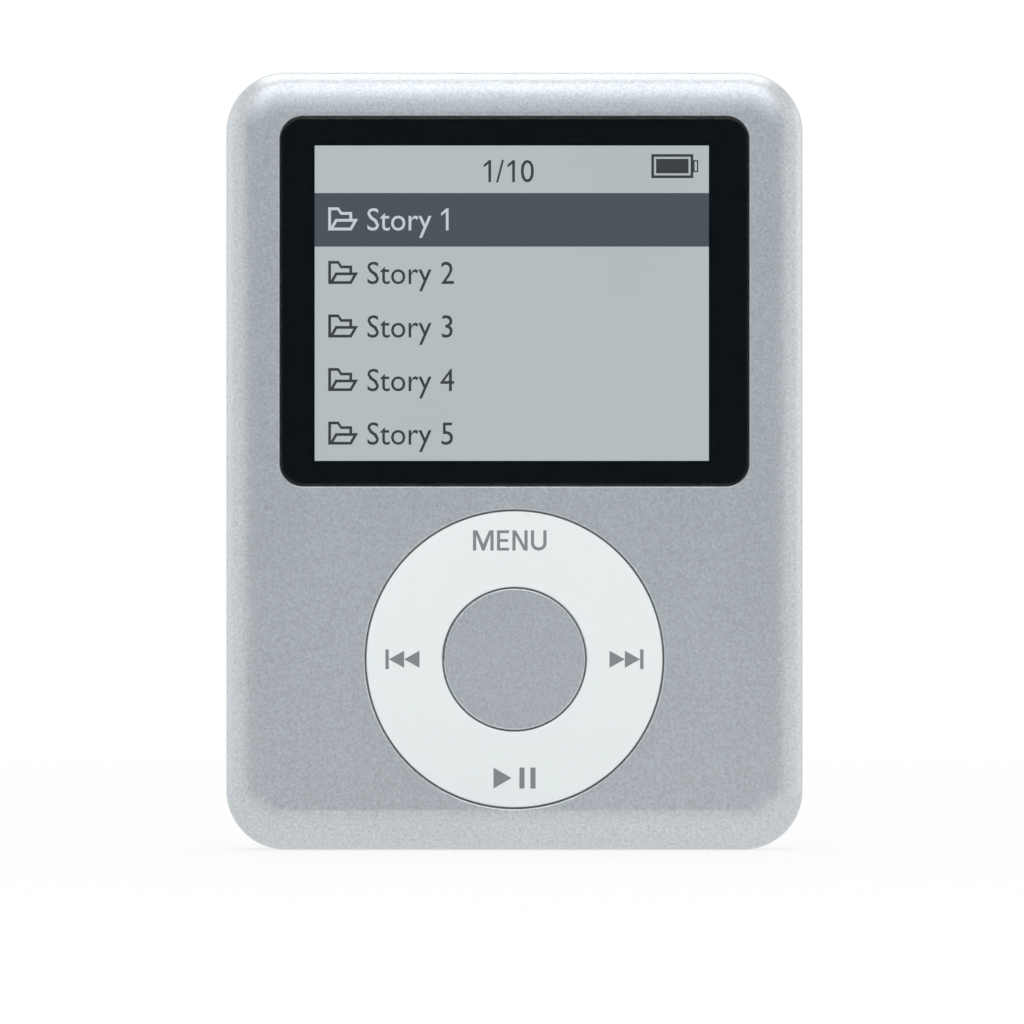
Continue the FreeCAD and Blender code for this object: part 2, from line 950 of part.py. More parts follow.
def make_snap_domes():
    """The five domes under the ring's nubs and the middle button."""
    return Part.makeCompound([snap_dome(x, z) for x, z in key_places + [(0, ring_z)]])


def make_main_board():
    """The circuit board behind the ring, notched for the headphone socket."""
    middle_z = (board_bottom + board_top) / 2
    height = board_top - board_bottom
    board = rounded(board_width, height, board_corner_radius, board_front, board_back, 0, middle_z)
    upper = block(-board_width / 2, board_width / 2, board_front, board_back, middle_z, board_top)
    board = join([board, upper])
    notch = block(
        jack_x - jack_width / 2 - port_gap,
        jack_x + jack_width / 2 + port_gap,
        0,
        body_depth,
        -1,
        jack_top() + port_gap,
    )
    board = board.cut(notch)
    for x, z in board_screw_places:
        board = board.cut(disc(screw_radius + screw_hole_gap, 0, body_depth, x, z))
    return board


def screw(x, z, seat):
    """A small machine screw that is driven from the back, with a six-sided socket."""
    tip = front_wall + boss_floor + screw_tip_gap
    shank = disc(screw_radius, tip, seat + screw_head_thickness / 2, x, z)
    head = disc(screw_head_radius, seat, seat + screw_head_thickness, x, z)
    points = []
    for corner in range(7):
        angle = math.radians(60 * corner)
        socket_x = x + screw_socket_radius * math.cos(angle)
        socket_z = z + screw_socket_radius * math.sin(angle)
        points.append(Vector(socket_x, across(seat + screw_head_thickness), socket_z))
    socket = Part.Face(Part.makePolygon(points)).extrude(Vector(0, -screw_socket_depth, 0))
    return join([shank, head]).cut(socket)


def make_frame_screws():
    """The four screws that hold the inner frame."""
    return Part.makeCompound([screw(x, z, frame_floor_front) for x, z in frame_screw_places])


def make_board_screws():
    """The four screws that hold the main board."""
    return Part.makeCompound([screw(x, z, board_back) for x, z in board_screw_places])


def jack_top():
    """The height of the closed end of the headphone socket."""
    return port_set_back + jack_bore_length + jack_end_wall


def make_headphone_socket():
    """The black socket body with its collar and its 3.5 mm bore."""
    near = jack_middle_depth - jack_depth / 2
    body = block(
        jack_x - jack_width / 2,
        jack_x + jack_width / 2,
        near,
        near + jack_depth,
        front_wall + port_gap,
        jack_top(),
    )
    collar = post(jack_collar_radius, jack_x, jack_middle_depth, port_set_back, jack_top() / 2)
    bore = post(
        jack_bore_radius, jack_x, jack_middle_depth, -1, port_set_back + jack_bore_length
    )
    return join([body, collar]).cut(bore)


def make_headphone_contacts():
    """The socket's metal contacts, bent down to feet on the board."""
    contacts = []
    for index, height in enumerate(contact_heights):
        side = 1 - 2 * (index % 2)
        face_x = jack_x + side * jack_width / 2
        blade_x = face_x + side * contact_thickness / 2
        foot_x = face_x + side * (contact_foot + contact_thickness) / 2
        far = jack_middle_depth + jack_depth / 4
        blade = slab(contact_thickness, contact_width, part_seat, far, blade_x, height)
        foot = slab(
            contact_foot + contact_thickness,
            contact_width,
            part_seat,
            part_seat + contact_thickness,
            foot_x,
            height,
        )
        contacts.append(join([blade, foot]))
    return Part.makeCompound(contacts)


def make_usb_shell():
    """The steel sleeve of the charging socket."""
    z_high = usb_set_back + usb_length
    outer = upright_block(usb_width, usb_height, usb_corner, 0, usb_middle_depth, usb_set_back, z_high)
    inner = upright_block(
        usb_width - 2 * usb_wall,
        usb_height - 2 * usb_wall,
        usb_corner - usb_wall,
        0,
        usb_middle_depth,
        usb_set_back - 1,
        z_high + 1,
    )
    return outer.cut(inner)


def make_usb_tongue():
    """The black core of the charging socket: a base at the back and a tongue in the mouth."""
    z_high = usb_set_back + usb_length
    base = upright_block(
        usb_width - 2 * usb_wall - 2 * solder_gap,
        usb_height - 2 * usb_wall - 2 * solder_gap,
        usb_corner - usb_wall,
        0,
        usb_middle_depth,
        z_high - tongue_base_length,
        z_high,
    )
    near = usb_middle_depth - tongue_thickness / 2
    tongue = block(
        -tongue_width / 2,
        tongue_width / 2,
        near,
        near + tongue_thickness,
        usb_set_back + tongue_set_back,
        z_high - tongue_base_length / 2,
    )
    return join([base, tongue])


def make_usb_contacts():
    """The gold strips on the tongue."""
    near = usb_middle_depth + tongue_thickness / 2
    z_low = usb_set_back + tongue_set_back + pin_thickness
    pins = []
    for index in range(pin_count):
        pin_x = (index - (pin_count - 1) / 2) * pin_pitch
        pin_middle = z_low + pin_length / 2
        pins.append(slab(pin_width, pin_length, near, near + pin_thickness, pin_x, pin_middle))
    return Part.makeCompound(pins)


def switch_bottom():
    """The height of the side of the slide switch that faces the bottom wall."""
    return front_wall + switch_set_in


def make_switch_base():
    """The brown plate under the slide switch."""
    near = part_seat
    low = switch_bottom()
    return block(
        switch_x - switch_width / 2,
        switch_x + switch_width / 2,
        near,
        near + switch_base_thickness,
        low,
        low + switch_length,
    )


def make_switch_cover():
    """The folded steel cover of the slide switch, slotted for the knob's stem."""
    near = part_seat + switch_base_thickness
    far = near + switch_cover_height
    low = switch_bottom()
    high = low + switch_length
    cover = block(switch_x - switch_width / 2, switch_x + switch_width / 2, near, far, low, high)
    room = block(
        switch_x - switch_width / 2 + switch_cover_wall,
        switch_x + switch_width / 2 - switch_cover_wall,
        near,
        far - switch_cover_wall,
        low + switch_cover_wall,
        high - switch_cover_wall,
    )
    half_slot = (stem_width + switch_travel) / 2 + slider_gap
    middle = switch_middle_depth()
    slot = block(
        switch_x - half_slot,
        switch_x + half_slot,
        middle - stem_depth / 2 - slider_gap,
        middle + stem_depth / 2 + slider_gap,
        low - 1,
        low + 2 * switch_cover_wall,
    )
    return cover.cut([room, slot])


def make_switch_knob():
    """The sliding knob with its stem and the slider inside the switch, pushed to the left."""
    knob_x = switch_x - switch_travel / 2
    middle = switch_middle_depth()
    low = switch_bottom()
    slider_low = low + switch_cover_wall + slider_gap
    slider_high = low + switch_length - switch_cover_wall - slider_gap
    slider_near = part_seat + switch_base_thickness + slider_gap
    slider_far = slider_near + switch_cover_height - switch_cover_wall - 2 * slider_gap
    slider = block(
        knob_x - slider_width / 2, knob_x + slider_width / 2, slider_near, slider_far, slider_low, slider_high
    )
    knob_high = low - knob_end_gap
    stem = slab(
        stem_width,
        slider_high - knob_set_back - slider_gap,
        middle - stem_depth / 2,
        middle + stem_depth / 2,
        knob_x,
        (knob_set_back + slider_high) / 2,
    )
    knob = upright_block(
        knob_width, knob_depth, knob_depth / 3, knob_x, middle, knob_set_back, knob_high
    )
    solid = join([slider, stem, knob])
    for index in range(knob_groove_count):
        groove_x = knob_x + (index - (knob_groove_count - 1) / 2) * knob_groove_pitch
        solid = solid.cut(
            block(
                groove_x - knob_groove / 2,
                groove_x + knob_groove / 2,
                0,
                body_depth,
                knob_set_back - knob_groove,
                knob_set_back + knob_groove,
            )
        )
    return solid


def battery_middle():
    """The height of the middle of the battery."""
    return frame_bottom + battery_above_frame + battery_height / 2


def make_battery_cell():
    """The soft-pack battery behind the display."""
    cell = slab(battery_width, battery_height, battery_front, battery_back, 0, battery_middle())
    upright = []
    for edge in cell.Edges:
        if edge.BoundBox.ZLength > battery_height / 2:
            upright.append(edge)
    return cell.makeFillet(battery_rounding, upright)


def make_battery_tape():
    """The double-sided tape between the battery and the inner frame."""
    width = battery_width - 2 * battery_tape_inset
    height = battery_height - 2 * battery_tape_inset
    return slab(width, height, frame_back, battery_front, 0, battery_middle())


def make_battery_foam():
    """The foam pad that the rear cover presses on the battery."""
    width = battery_width - 2 * foam_inset
    height = battery_height - 2 * foam_inset
    return slab(width, height, battery_back, foam_back, 0, battery_middle())


def guard_board_bottom():
    """The height of the lower edge of the battery's own small board."""
    return battery_middle() - battery_height / 2 - guard_board_gap - guard_board_height


def guard_board_near():
    """The depth of the front of the battery's own small board."""
    return (battery_front + battery_back - guard_board_thickness) / 2


def make_battery_guard_board():
    """The battery's protection board, along its lower edge."""
    low = guard_board_bottom()
    near = guard_board_near()
    return block(
        -guard_board_width / 2,
        guard_board_width / 2,
        near,
        near + guard_board_thickness,
        low,
        low + guard_board_height,
    )


def battery_lead(x):
    """One insulated wire from the battery's board down to its pad on the main board."""
    start_depth = guard_board_near() + guard_board_thickness / 2
    end_depth = part_seat + lead_radius
    shift = start_depth - end_depth
    turn = math.acos(1 - shift / (2 * lead_bend))
    top = guard_board_bottom() - solder_gap
    bend_top = top - lead_start
    half_drop = lead_bend * math.sin(turn)
    half_turn = turn / 2
    arc_drop = lead_bend * math.sin(half_turn)
    arc_shift = lead_bend * (1 - math.cos(half_turn))

    def spot(depth, z):
        return Vector(x, across(depth), z)

    first = spot(start_depth, top)
    second = spot(start_depth, bend_top)
    second_middle = spot(start_depth - arc_shift, bend_top - arc_drop)
    middle = spot(start_depth - shift / 2, bend_top - half_drop)
    third_middle = spot(end_depth + arc_shift, bend_top - 2 * half_drop + arc_drop)
    third = spot(end_depth, bend_top - 2 * half_drop)
    last = spot(end_depth, bend_top - 2 * half_drop - lead_end)
    route = Part.Wire(
        [
            Part.LineSegment(first, second).toShape(),
            Part.Arc(second, second_middle, middle).toShape(),
            Part.Arc(middle, third_middle, third).toShape(),
            Part.LineSegment(third, last).toShape(),
        ]
    )
    section = Part.Wire(Part.makeCircle(lead_radius, first, Vector(0, 0, -1)))
    return route.makePipeShell([section], True, False)


def make_battery_lead_plus():
    """The red wire, clear of the ribbon."""
    return battery_lead(screen_x + ribbon_width / 2 + lead_from_ribbon)


def make_battery_lead_minus():
    """The black wire, beside the red one."""
    return battery_lead(screen_x + ribbon_width / 2 + lead_from_ribbon + lead_spacing)


def make_display_connector():
    """The socket on the board that takes the display ribbon."""
    high = board_top - connector_from_edge
    socket = block(
        screen_x - connector_width / 2,
        screen_x + connector_width / 2,
        part_seat,
        part_seat + connector_depth,
        high - connector_height,
        high,
    )
    middle = ribbon_middle_depth()
    mouth = block(
        screen_x - ribbon_width / 2 - module_fit,
        screen_x + ribbon_width / 2 + module_fit,
        middle - ribbon_thickness / 2 - module_fit,
        middle + ribbon_thickness / 2 + module_fit,
        high - connector_mouth - module_fit,
        high + 1,
    )
    return socket.cut(mouth)


def chip(width, height, thickness, place):
    """A chip or other small block soldered on the back of the board."""
    return slab(width, height, part_seat, part_seat + thickness, *place)


def make_processor_chip():
    """The player's main chip."""
    return chip(processor_side, processor_side, processor_thickness, processor_place)


def make_memory_chip():
    """The memory that the stories are stored in."""
    return chip(memory_width, memory_height, memory_thickness, memory_place)


def make_charger_chip():
    """The chip that charges the battery."""
    return chip(charger_side, charger_side, charger_thickness, charger_place)


def make_power_inductor():
    """The coil block beside the charger chip."""
    return chip(inductor_side, inductor_side, inductor_thickness, inductor_place)


def make_clock_crystal():
    """The small metal can that sets the main chip's clock."""
    return chip(crystal_width, crystal_height, crystal_thickness, crystal_place)


def make_chip_capacitors():
    """Two rows of small capacitors, above and below the main chip."""
    capacitors = []
    for side in (-1, 1):
        row_z = processor_place[1] + side * (processor_side / 2 + capacitor_row_gap)
        for index in range(capacitors_per_row):
            row_x = processor_place[0] + (index - (capacitors_per_row - 1) / 2) * capacitor_pitch
            capacitors.append(chip(capacitor_width, capacitor_height, capacitor_thickness, (row_x, row_z)))
    return Part.makeCompound(capacitors)


MAKERS = {
    "front_shell": make_front_shell,
    "rear_cover": make_rear_cover,
    "window_lens": make_window_lens,
    "lens_border_film": make_lens_border_film,
    "lens_gasket": make_lens_gasket,
    "lcd_panel": make_lcd_panel,
    "lcd_polariser": make_lcd_polariser,
    "lcd_backlight_frame": make_lcd_backlight_frame,
    "light_guide": make_light_guide,
    "backlight_reflector": make_backlight_reflector,
    "backlight_lamps": make_backlight_lamps,
    "lcd_back_plate": make_lcd_back_plate,
    "lcd_ribbon": make_lcd_ribbon,
    "inner_frame": make_inner_frame,
    "control_ring": make_control_ring,
    "center_button": make_center_button,
    "rocker_washer": make_rocker_washer,
    "fulcrum_studs": make_fulcrum_studs,
    "snap_domes": make_snap_domes,
    "main_board": make_main_board,
    "frame_screws": make_frame_screws,
    "board_screws": make_board_screws,
    "headphone_socket": make_headphone_socket,
    "headphone_contacts": make_headphone_contacts,
    "usb_shell": make_usb_shell,
    "usb_tongue": make_usb_tongue,
    "usb_contacts": make_usb_contacts,
    "switch_base": make_switch_base,
    "switch_cover": make_switch_cover,
    "switch_knob": make_switch_knob,
    "battery_cell": make_battery_cell,
    "battery_tape": make_battery_tape,
    "battery_foam": make_battery_foam,
    "battery_guard_board": make_battery_guard_board,
    "battery_lead_plus": make_battery_lead_plus,
    "battery_lead_minus": make_battery_lead_minus,
    "display_connector": make_display_connector,
    "processor_chip": make_processor_chip,
    "memory_chip": make_memory_chip,
    "charger_chip": make_charger_chip,
    "power_inductor": make_power_inductor,
    "clock_crystal": make_clock_crystal,
    "chip_capacitors": make_chip_capacitors,
}


os.makedirs("parts", exist_ok=True)
for name, make in MAKERS.items():
    shape = make()
    shape.exportStep(f"parts/{name}.step")
    print(name, len(shape.Solids), "solids, valid", shape.isValid(), "volume", round(shape.Volume, 2))
print("case", round(body_width, 2), "x", round(body_depth, 2), "x", round(body_height, 2), "mm")
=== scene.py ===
# %% [markdown]
# # A pocket story player, dressed in Blender
#
# The shape of every part is already there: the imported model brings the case, the window, the
# ring and all that lies inside, at its real size in metres. This lesson adds what the eye
# looks for: metal that looks blasted and metal that looks polished, a clear window over a lit
# screen, the words and pictures on that screen, and the marks on the keys. Nothing that was
# packed is moved or reshaped. Only the window gets a stand-in, with a softer edge.

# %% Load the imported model
import json
import math

import bpy
from mathutils import Matrix, Vector


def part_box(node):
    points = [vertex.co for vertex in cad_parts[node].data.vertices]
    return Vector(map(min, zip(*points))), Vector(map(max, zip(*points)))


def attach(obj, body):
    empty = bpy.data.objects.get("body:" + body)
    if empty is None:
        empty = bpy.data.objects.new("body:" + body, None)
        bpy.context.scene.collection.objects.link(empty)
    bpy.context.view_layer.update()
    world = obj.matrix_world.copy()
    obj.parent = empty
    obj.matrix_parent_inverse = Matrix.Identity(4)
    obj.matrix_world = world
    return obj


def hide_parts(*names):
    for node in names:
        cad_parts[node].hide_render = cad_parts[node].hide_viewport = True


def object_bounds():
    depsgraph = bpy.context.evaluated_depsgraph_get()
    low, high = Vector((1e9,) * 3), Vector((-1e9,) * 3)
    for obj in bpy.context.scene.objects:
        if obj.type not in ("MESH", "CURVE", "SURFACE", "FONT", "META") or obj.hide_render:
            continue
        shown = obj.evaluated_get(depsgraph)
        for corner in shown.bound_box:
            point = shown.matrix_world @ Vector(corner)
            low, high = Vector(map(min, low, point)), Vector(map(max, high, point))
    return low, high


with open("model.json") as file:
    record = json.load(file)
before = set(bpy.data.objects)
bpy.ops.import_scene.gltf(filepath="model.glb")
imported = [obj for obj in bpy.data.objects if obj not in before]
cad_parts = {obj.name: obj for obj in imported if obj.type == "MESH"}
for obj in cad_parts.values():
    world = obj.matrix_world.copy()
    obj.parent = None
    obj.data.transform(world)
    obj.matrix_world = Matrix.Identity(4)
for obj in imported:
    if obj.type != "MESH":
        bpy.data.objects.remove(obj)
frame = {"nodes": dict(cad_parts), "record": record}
cad_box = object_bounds()
nodes = frame["nodes"]

# %% [markdown]
# ## Measures
#
# Everything that is added sits on a part that is already there, so its place comes from that
# part's box. The face looks along -Y. A print on the ring stands on the ring's front, and the
# picture stands on the matt film of the display, behind the clear window.

# %% Measure the display, the ring and the case
MM = 0.001
case_low, case_high = cad_box
film_low, film_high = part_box("lcd_polariser")
ring_low, ring_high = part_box("control_ring")
film_margin = 0.3 * MM
screen_left = film_low.x + film_margin
screen_right = film_high.x - film_margin
screen_bottom = film_low.z + film_margin
screen_top = film_high.z - film_margin
screen_width = screen_right - screen_left
ring_x = (ring_low.x + ring_high.x) / 2
ring_z = (ring_low.z + ring_high.z) / 2
print("screen", round(screen_width / MM, 2), "mm wide, ring axis at z", round(ring_z / MM, 2), "mm")

# %% [markdown]
# ## Colours
#
# Colours are easiest to judge as the 0 to 255 values of a screen, but a shader works in
# linear light. One small function turns the first into the second, so that the values in
# this file can be compared with a picture by eye.


# %% Turn screen colours into linear light
def screen_colour(red, green, blue):
    """A colour given as 0 to 255 values, as the linear colour that a shader wants."""
    linear = []
    for value in (red, green, blue):
        share = value / 255
        if share <= 0.04045:
            linear.append(share / 12.92)
        else:
            linear.append(((share + 0.055) / 1.055) ** 2.4)
    return (*linear, 1.0)


print("mid grey 128 is", round(screen_colour(128, 128, 128)[0], 3), "in linear light")

# %% [markdown]
# ## Shared effects
#
# Three effects come back in almost every finish: a fine grain, a slow drift of the colour,
# and the faint smears that hands leave. Each is a shader node group, built once. A group
# only puts out values and colours, and each material feeds them to its own shader, so the
# same grain can be blasting on metal, texture on plastic or fibres in a board.


# %% A helper that starts a node group
def start_group(name, inputs, outputs):
    """An empty shader group with named sockets, and its input and output nodes."""
    group = bpy.data.node_groups.new(name, "ShaderNodeTree")
    for socket_name, kind, default in inputs:
        socket = group.interface.new_socket(socket_name, in_out="INPUT", socket_type=kind)
        socket.default_value = default
    for socket_name, kind in outputs:
        group.interface.new_socket(socket_name, in_out="OUTPUT", socket_type=kind)
    start = group.nodes.new("NodeGroupInput")
    end = group.nodes.new("NodeGroupOutput")
    return group, start, end


def math_node(group, operation, first, second):
    """One arithmetic node. Each term is a socket or a number."""
    node = group.nodes.new("ShaderNodeMath")
    node.operation = operation
    for index, term in enumerate((first, second)):
        if isinstance(term, bpy.types.NodeSocket):
            group.links.new(term, node.inputs[index])
        else:
            node.inputs[index].default_value = term
    return node.outputs[0]


print("helpers for node groups are ready")


# %% Fine grain: what blasting, moulding and rolling leave on a surface
def build_grain():
    """Grain of two sizes. Height drives a bump and Mask drives colour."""
    group, start, end = start_group(
        "fine grain",
        [
            ("Scale", "NodeSocketFloat", 9000.0),
            ("Stretch", "NodeSocketVector", (1.0, 1.0, 1.0)),
            ("Sharpness", "NodeSocketFloat", 0.5),
        ],
        [("Height", "NodeSocketFloat"), ("Mask", "NodeSocketFloat")],
    )
    place = group.nodes.new("ShaderNodeTexCoord")
    stretch = group.nodes.new("ShaderNodeVectorMath")
    stretch.operation = "MULTIPLY"
    group.links.new(place.outputs["Object"], stretch.inputs[0])
    group.links.new(start.outputs["Stretch"], stretch.inputs[1])
    fine = group.nodes.new("ShaderNodeTexNoise")
    fine.inputs["Detail"].default_value = 3.0
    fine.inputs["Roughness"].default_value = 0.65
    group.links.new(stretch.outputs[0], fine.inputs["Vector"])
    group.links.new(start.outputs["Scale"], fine.inputs["Scale"])
    pits = group.nodes.new("ShaderNodeTexVoronoi")
    pits.feature = "SMOOTH_F1"
    group.links.new(stretch.outputs[0], pits.inputs["Vector"])
    group.links.new(start.outputs["Scale"], pits.inputs["Scale"])
    blend = group.nodes.new("ShaderNodeMix")
    group.links.new(start.outputs["Sharpness"], blend.inputs["Factor"])
    group.links.new(fine.outputs["Fac"], blend.inputs["A"])
    group.links.new(pits.outputs["Distance"], blend.inputs["B"])
    group.links.new(blend.outputs["Result"], end.inputs["Height"])
    group.links.new(fine.outputs["Fac"], end.inputs["Mask"])
    return group


grain_group = build_grain()
print("built", grain_group.name)


# %% Slow drift and hand marks
def build_drift():
    """A colour that wanders a little, as no real surface is one even colour."""
    group, start, end = start_group(
        "colour drift",
        [
            ("Colour", "NodeSocketColor", (0.5, 0.5, 0.5, 1.0)),
            ("Amount", "NodeSocketFloat", 0.06),
            ("Scale", "NodeSocketFloat", 60.0),
            ("Speckle", "NodeSocketFloat", 0.0),
            ("Grain", "NodeSocketFloat", 0.5),
        ],
        [("Colour", "NodeSocketColor")],
    )
    middle = 0.5
    place = group.nodes.new("ShaderNodeTexCoord")
    cloud = group.nodes.new("ShaderNodeTexNoise")
    cloud.inputs["Detail"].default_value = 2.0
    group.links.new(place.outputs["Object"], cloud.inputs["Vector"])
    group.links.new(start.outputs["Scale"], cloud.inputs["Scale"])
    slow = math_node(group, "SUBTRACT", cloud.outputs["Fac"], middle)
    slow = math_node(group, "MULTIPLY", slow, start.outputs["Amount"])
    quick = math_node(group, "SUBTRACT", start.outputs["Grain"], middle)
    quick = math_node(group, "MULTIPLY", quick, start.outputs["Speckle"])
    change = math_node(group, "ADD", slow, quick)
    change = math_node(group, "MULTIPLY", change, 2.0)
    level = math_node(group, "ADD", change, 1.0)
    scaled = group.nodes.new("ShaderNodeVectorMath")
    scaled.operation = "SCALE"
    group.links.new(start.outputs["Colour"], scaled.inputs[0])
    group.links.new(level, scaled.inputs["Scale"])
    group.links.new(scaled.outputs[0], end.inputs["Colour"])
    return group


def build_hand_marks():
    """Roughness with faint smears: it rises where a finger has rested."""
    group, start, end = start_group(
        "hand marks",
        [
            ("Roughness", "NodeSocketFloat", 0.4),
            ("Amount", "NodeSocketFloat", 0.05),
            ("Scale", "NodeSocketFloat", 110.0),
        ],
        [("Roughness", "NodeSocketFloat")],
    )
    clean_level = 0.45
    contrast = 4.0
    place = group.nodes.new("ShaderNodeTexCoord")
    smear = group.nodes.new("ShaderNodeTexNoise")
    smear.inputs["Detail"].default_value = 4.0
    smear.inputs["Distortion"].default_value = 1.2
    group.links.new(place.outputs["Object"], smear.inputs["Vector"])
    group.links.new(start.outputs["Scale"], smear.inputs["Scale"])
    raised = math_node(group, "SUBTRACT", smear.outputs["Fac"], clean_level)
    raised = math_node(group, "MULTIPLY", raised, start.outputs["Amount"])
    raised = math_node(group, "MULTIPLY", raised, contrast)
    total = math_node(group, "ADD", raised, start.outputs["Roughness"])
    group.links.new(total, end.inputs["Roughness"])
    return group


drift_group = build_drift()
hand_group = build_hand_marks()
print("built", drift_group.name, "and", hand_group.name)

# %% [markdown]
# ## Finishes
#
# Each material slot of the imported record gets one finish. They all use the same wiring: the
# drift group gives the base colour, the hand marks give the roughness and the grain gives
# the bump. What differs is the numbers, and a few finishes then add something of their own,
# such as tracks on the board or a pixel grid on the screen.

# %% The wiring that every finish starts from
grain_depth = 0.1 * MM


def add_group(material, group, **values):
    """Put a shared group in a material and set its inputs."""
    node = material.node_tree.nodes.new("ShaderNodeGroup")
    node.node_tree = group
    for socket_name, value in values.items():
        node.inputs[socket_name].default_value = value
    return node


def new_finish(
    name,
    colour,
    roughness,
    metallic=0.0,
    grain=8000.0,
    stretch=(1.0, 1.0, 1.0),
    sharpness=0.4,
    relief=0.05,
    speckle=0.0,
    drift=0.05,
    marks=0.03,
):
    """A finish with grain, a drifting colour and hand marks. Returns it with its shader."""
    material = bpy.data.materials.new(name)
    material.use_nodes = True
    links = material.node_tree.links
    shader = material.node_tree.nodes["Principled BSDF"]
    shader.inputs["Metallic"].default_value = metallic
    texture = add_group(material, grain_group, Scale=grain, Stretch=stretch, Sharpness=sharpness)
    tint = add_group(material, drift_group, Colour=colour, Amount=drift, Speckle=speckle)
    links.new(texture.outputs["Mask"], tint.inputs["Grain"])
    links.new(tint.outputs["Colour"], shader.inputs["Base Color"])
    hands = add_group(material, hand_group, Roughness=roughness, Amount=marks)
    links.new(hands.outputs["Roughness"], shader.inputs["Roughness"])
    bump = material.node_tree.nodes.new("ShaderNodeBump")
    bump.inputs["Strength"].default_value = relief
    bump.inputs["Distance"].default_value = grain_depth
    links.new(texture.outputs["Height"], bump.inputs["Height"])
    links.new(bump.outputs["Normal"], shader.inputs["Normal"])
    return material, shader


finishes = {}


def keep_finish(slot_name, name, colour, **values):
    """Make a finish and keep it under the name of its material slot. Returns its shader."""
    finishes[slot_name], shader = new_finish(name, colour, **values)
    return shader


print("the common wiring is ready")

# %% [markdown]
# ### The case
#
# The front is aluminium that was blasted with fine beads and then anodised: satin, with a
# grain that is only just seen, and a little sheen from its anodised skin. The button has the
# same grain without the sheen. The back is steel polished to a mirror, where almost all that
# shows is the room, a few hairline scratches and the smears of hands.

# %% Blasted aluminium, its button, and polished steel
silver = screen_colour(196, 201, 205)
satin = {
    "roughness": 0.3,
    "metallic": 1.0,
    "grain": 4600.0,
    "sharpness": 0.35,
    "relief": 0.08,
    "speckle": 0.42,
    "drift": 0.03,
    "marks": 0.015,
}
shell_shader = keep_finish("silver_shell", "blasted aluminium", silver, **satin)
shell_shader.inputs["Sheen Weight"].default_value = 0.3
shell_shader.inputs["Sheen Roughness"].default_value = 0.35
keep_finish("button_silver", "satin silver button", silver, **satin)
keep_finish(
    "polished_back",
    "polished steel",
    screen_colour(206, 208, 210),
    roughness=0.06,
    metallic=1.0,
    grain=900.0,
    stretch=(14.0, 1.0, 0.5),
    relief=0.006,
    speckle=0.05,
    drift=0.06,
    marks=0.04,
)
print("case finishes:", ", ".join(sorted(finishes)))

# %% [markdown]
# ### The window and what is printed behind it
#
# The window is a clear moulded plate. Behind it lies a film printed black, except over the
# screen, so the border looks deep rather than painted. The clear plate keeps a plain
# transmission value, because that is what lets another program show it as glass. The real
# plate is bonded to its film, so it mirrors the room only at its front. The modelled one
# mirrors it at its back too. Its index is set lower than that of clear plastic, so that both
# mirrorings together come to about one, and the film has next to no gloss of its own.

# %% Clear window, clear guide and black border
bonded_index = 1.3
acrylic_index = 1.49


def clear_finish(name, colour, roughness, index, gloss=0.5):
    """A see-through moulding with faint hand marks. A coating against glare lowers its gloss."""
    material, shader = new_finish(name, colour, roughness, relief=0.0, drift=0.01, marks=0.004)
    shader.inputs["Transmission Weight"].default_value = 1.0
    shader.inputs["IOR"].default_value = index
    shader.inputs["Specular IOR Level"].default_value = gloss
    return material


finishes["window_clear"] = clear_finish(
    "clear window",
    screen_colour(252, 253, 253),
    roughness=0.012,
    index=bonded_index,
    gloss=0.2,
)
finishes["clear_acrylic"] = clear_finish(
    "light guide",
    screen_colour(244, 247, 249),
    roughness=0.08,
    index=acrylic_index,
)
film_shader = keep_finish(
    "black_film",
    "black printed film",
    screen_colour(10, 14, 16),
    roughness=0.5,
    relief=0.0,
    speckle=0.06,
)
film_shader.inputs["Specular IOR Level"].default_value = 0.02
keep_finish(
    "screen_glass",
    "display glass",
    screen_colour(60, 64, 66),
    roughness=0.15,
    grain=3000.0,
    relief=0.01,
)
print("window finishes are ready")

# %% [markdown]
# ### The lit screen
#
# A screen is seen by its own light, so its colours are emission, not paint. A real one is
# never quite even, and its pixels leave a grid that is just felt. Neither may change how
# bright it is on the whole, so their means are taken off again. The same function makes the
# lit ground, the dark row and the words. The window takes a little of the light away, so each
# is made brighter by that much.

# %% Screen light with a pixel grid
pixels_across = 320
window_loss = 1.04
grid_depth = 0.03
grid_mean = 0.4
cloud_depth = 0.05


